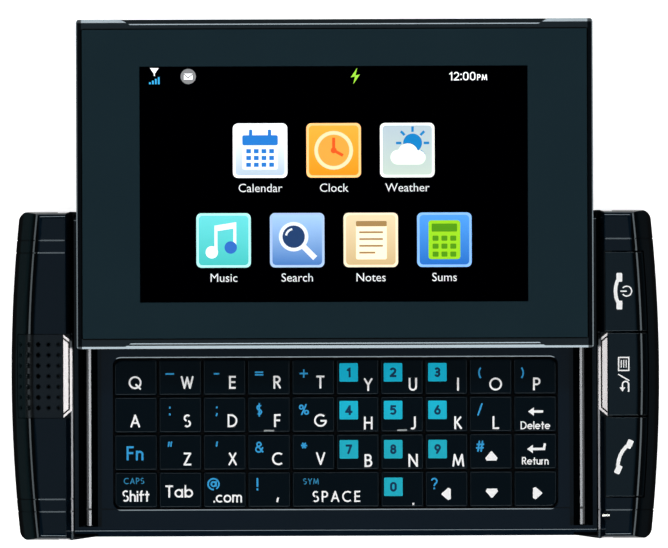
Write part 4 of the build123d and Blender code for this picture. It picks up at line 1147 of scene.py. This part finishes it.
# notes: a ruled pad with a brown binding on sand
centre, layers = tile("tile_notes", 2, lower_row_y, 4, "e6d8bc", "c3a878", "dccba4")
pad_cream, rule_brown = glow("pad_cream", "f0e4c8", "faf2de"), glow("rule_brown", "9a7a4c", "8a6a3e")
layers.append(layer(2, pad_cream, block(centre, 0.1, -0.2, 5.2, 6.2, 0.3)))
rules = [block(centre, 0.1, 2.75, 5.2, 0.9, 0.2)]
for row, reach in enumerate((1.9, 1.9, 1.9, 0.6)):
    y = 1.3 - 1.15 * row
    rules.append(line(centre, (-1.8, y), (reach, y), 0.3))
layers.append(layer(3, rule_brown, *rules))
finish_tile("tile_notes", "Notes", centre, layers)

# calculator: a lime display and keys on blue
centre, layers = tile("tile_calculator", 3, lower_row_y, 4, "7fb0ea", "1f62b4", "4a94e0")
lime, lime_deep = glow("lime", "8cc81e", "b4e03a"), glow("lime_deep", "4a8a10", "5ca01a")
layers.append(layer(2, lime, block(centre, 0, 0, 5.4, 6.6, 0.5)))
sums = [block(centre, 0, 2.05, 4.3, 1.35, 0.15)]
for column in range(3):
    for row in range(3):
        sums.append(block(centre, -1.5 + 1.5 * column, 0.25 - 1.35 * row, 1.0, 0.85, 0.15))
layers.append(layer(3, lime_deep, *sums))
finish_tile("tile_calculator", "Sums", centre, layers)

# status line: aerial and signal bars, a round message lamp, a green charge mark and the time
status_y = 50.7 * mm
signal_at, message_at, charge_at, time_at = [
    Vector((x * mm, status_y)) for x in (-30.5, -24.75, 3.55, 22.6)
]
signal_blue, lamp_grey = glow("signal_blue", "2f9ad0", "6cc4ec"), glow("lamp_grey", "77787a", "b0b1b2")
aerial = [
    outline(signal_at, (-0.75, 1.45), (0, 0.35), (0.75, 1.45)), line(signal_at, (0, 0.2), (0, 1.2), 0.2),
]
bars = []
for bar in range(4):
    height = 0.35 + 0.28 * bar
    bars.append(block(signal_at, 0.5 * bar - 0.75, height / 2 - 1.3, 0.3, height))
lamp = [spot(message_at, 0, 0, 1.3)]
envelope = [
    outline(message_at, (-0.75, 0.5), (0, -0.12), (0.75, 0.5)),
    outline(message_at, (-0.75, 0.3), (-0.75, -0.55), (0.75, -0.55), (0.75, 0.3), (0, -0.32)),
]
charge = [outline(
    charge_at, (0.35, 1.4), (-0.8, -0.25), (-0.05, -0.1), (-0.35, -1.4), (0.8, 0.25), (0.05, 0.1)
)]
settle(gather([
    layer(0, screen_white, *aerial), layer(0, signal_blue, *bars),
    layer(0, lamp_grey, *lamp), layer(1, screen_white, *envelope),
    layer(0, glow("charge_green", "8cc832", "c8ec8a"), *charge),
    layer(0, screen_white, *lettering("12:00", offset(time_at, -0.9, -0.1), 1.45 * mm, 0.14)),
    layer(0, screen_white, *lettering("PM", offset(time_at, 2.45, -0.3), 1.05 * mm, 0.17)),
]), "status_line", None, "slab")

# ---- Studio -------------------------------------------------------------------------------------
# A white table under a soft room: four long lamps stand round the phone, and the camera looks
# straight down on it from far away.

table_side, table_drop = 6.0, 0.05 * mm
background_glow, table_white = 0.8, 0.8
bpy.ops.mesh.primitive_plane_add(size=table_side, location=(0, 0, -table_drop))
table_top = bpy.context.active_object
table_top.name = "table_top"
table_finish = bpy.data.materials.new("white_table")
table_finish.use_nodes = True
paint = shader_of(table_finish)
paint.inputs["Base Color"].default_value = (table_white, table_white, table_white, 1)
paint.inputs["Roughness"].default_value = 0.9
paint.inputs["Specular IOR Level"].default_value = 0.0
rays = table_finish.node_tree.nodes.new("ShaderNodeLightPath").outputs
seen = calculate(table_finish, "MAXIMUM", rays["Is Camera Ray"], rays["Is Glossy Ray"])
seen = calculate(table_finish, "MAXIMUM", seen, rays["Is Transmission Ray"])
table_glow = calculate(table_finish, "MULTIPLY", seen, background_glow)
paint.inputs["Emission Color"].default_value = (1, 1, 1, 1)
table_finish.node_tree.links.new(table_glow, paint.inputs["Emission Strength"])
table_top.data.materials.append(table_finish)

# The room is dim all round and brighter in a small patch straight overhead
overhead_edge, overhead_full = 0.965, 0.99
room_glow, overhead_glow = 0.03, 0.22
room = bpy.context.scene.world or bpy.data.worlds.new("room")
bpy.context.scene.world = room
room.use_nodes = True
nodes, links = room.node_tree.nodes, room.node_tree.links
height = nodes.new("ShaderNodeSeparateXYZ")
links.new(nodes.new("ShaderNodeTexCoord").outputs["Generated"], height.inputs["Vector"])
fade = mapped(room, height.outputs["Z"], overhead_edge, overhead_full, room_glow, overhead_glow)
links.new(fade, nodes["Background"].inputs["Strength"])
nodes["Background"].inputs["Color"].default_value = (1, 1, 1, 1)


def soft_lamp(name, place, length, width, watts):
    """A long soft lamp that faces the phone, its length level."""
    bpy.ops.object.light_add(type="AREA", location=place)
    lamp = bpy.context.active_object
    lamp.name = name
    lamp.data.shape = "RECTANGLE"
    lamp.data.size = length
    lamp.data.size_y = width
    lamp.data.energy = watts
    lamp.rotation_euler = (-Vector(place)).to_track_quat("-Z", "Y").to_euler()


soft_lamp("lamp_left", (-0.94, 0, 0.76), 1.4, 0.25, 3.6)
soft_lamp("lamp_right", (0.94, 0, 0.76), 1.4, 0.25, 4.5)
soft_lamp("lamp_back", (0, 0.9, 0.8), 1.2, 0.16, 6.0)
soft_lamp("lamp_front", (0, -0.9, 0.8), 1.2, 0.2, 8.5)

picture_width_pixels = 668
millimetres_per_pixel = 0.1695
camera_lens_length = 600
sensor_width = 36
view_centre = (-0.17 * mm, 17.15 * mm)
camera_turn_degrees = -0.2
field_width = picture_width_pixels * millimetres_per_pixel * mm
camera_height = bar_level + field_width / 2 / (sensor_width / 2 / camera_lens_length)
bpy.ops.object.camera_add(location=(view_centre[0], view_centre[1], camera_height))
camera = bpy.context.active_object
camera.data.lens = camera_lens_length
camera.data.sensor_width = sensor_width
camera.data.clip_end = 10
camera.rotation_euler = (0, 0, math.radians(camera_turn_degrees))
bpy.context.scene.camera = camera
bpy.context.scene.view_settings.view_transform = "Standard"
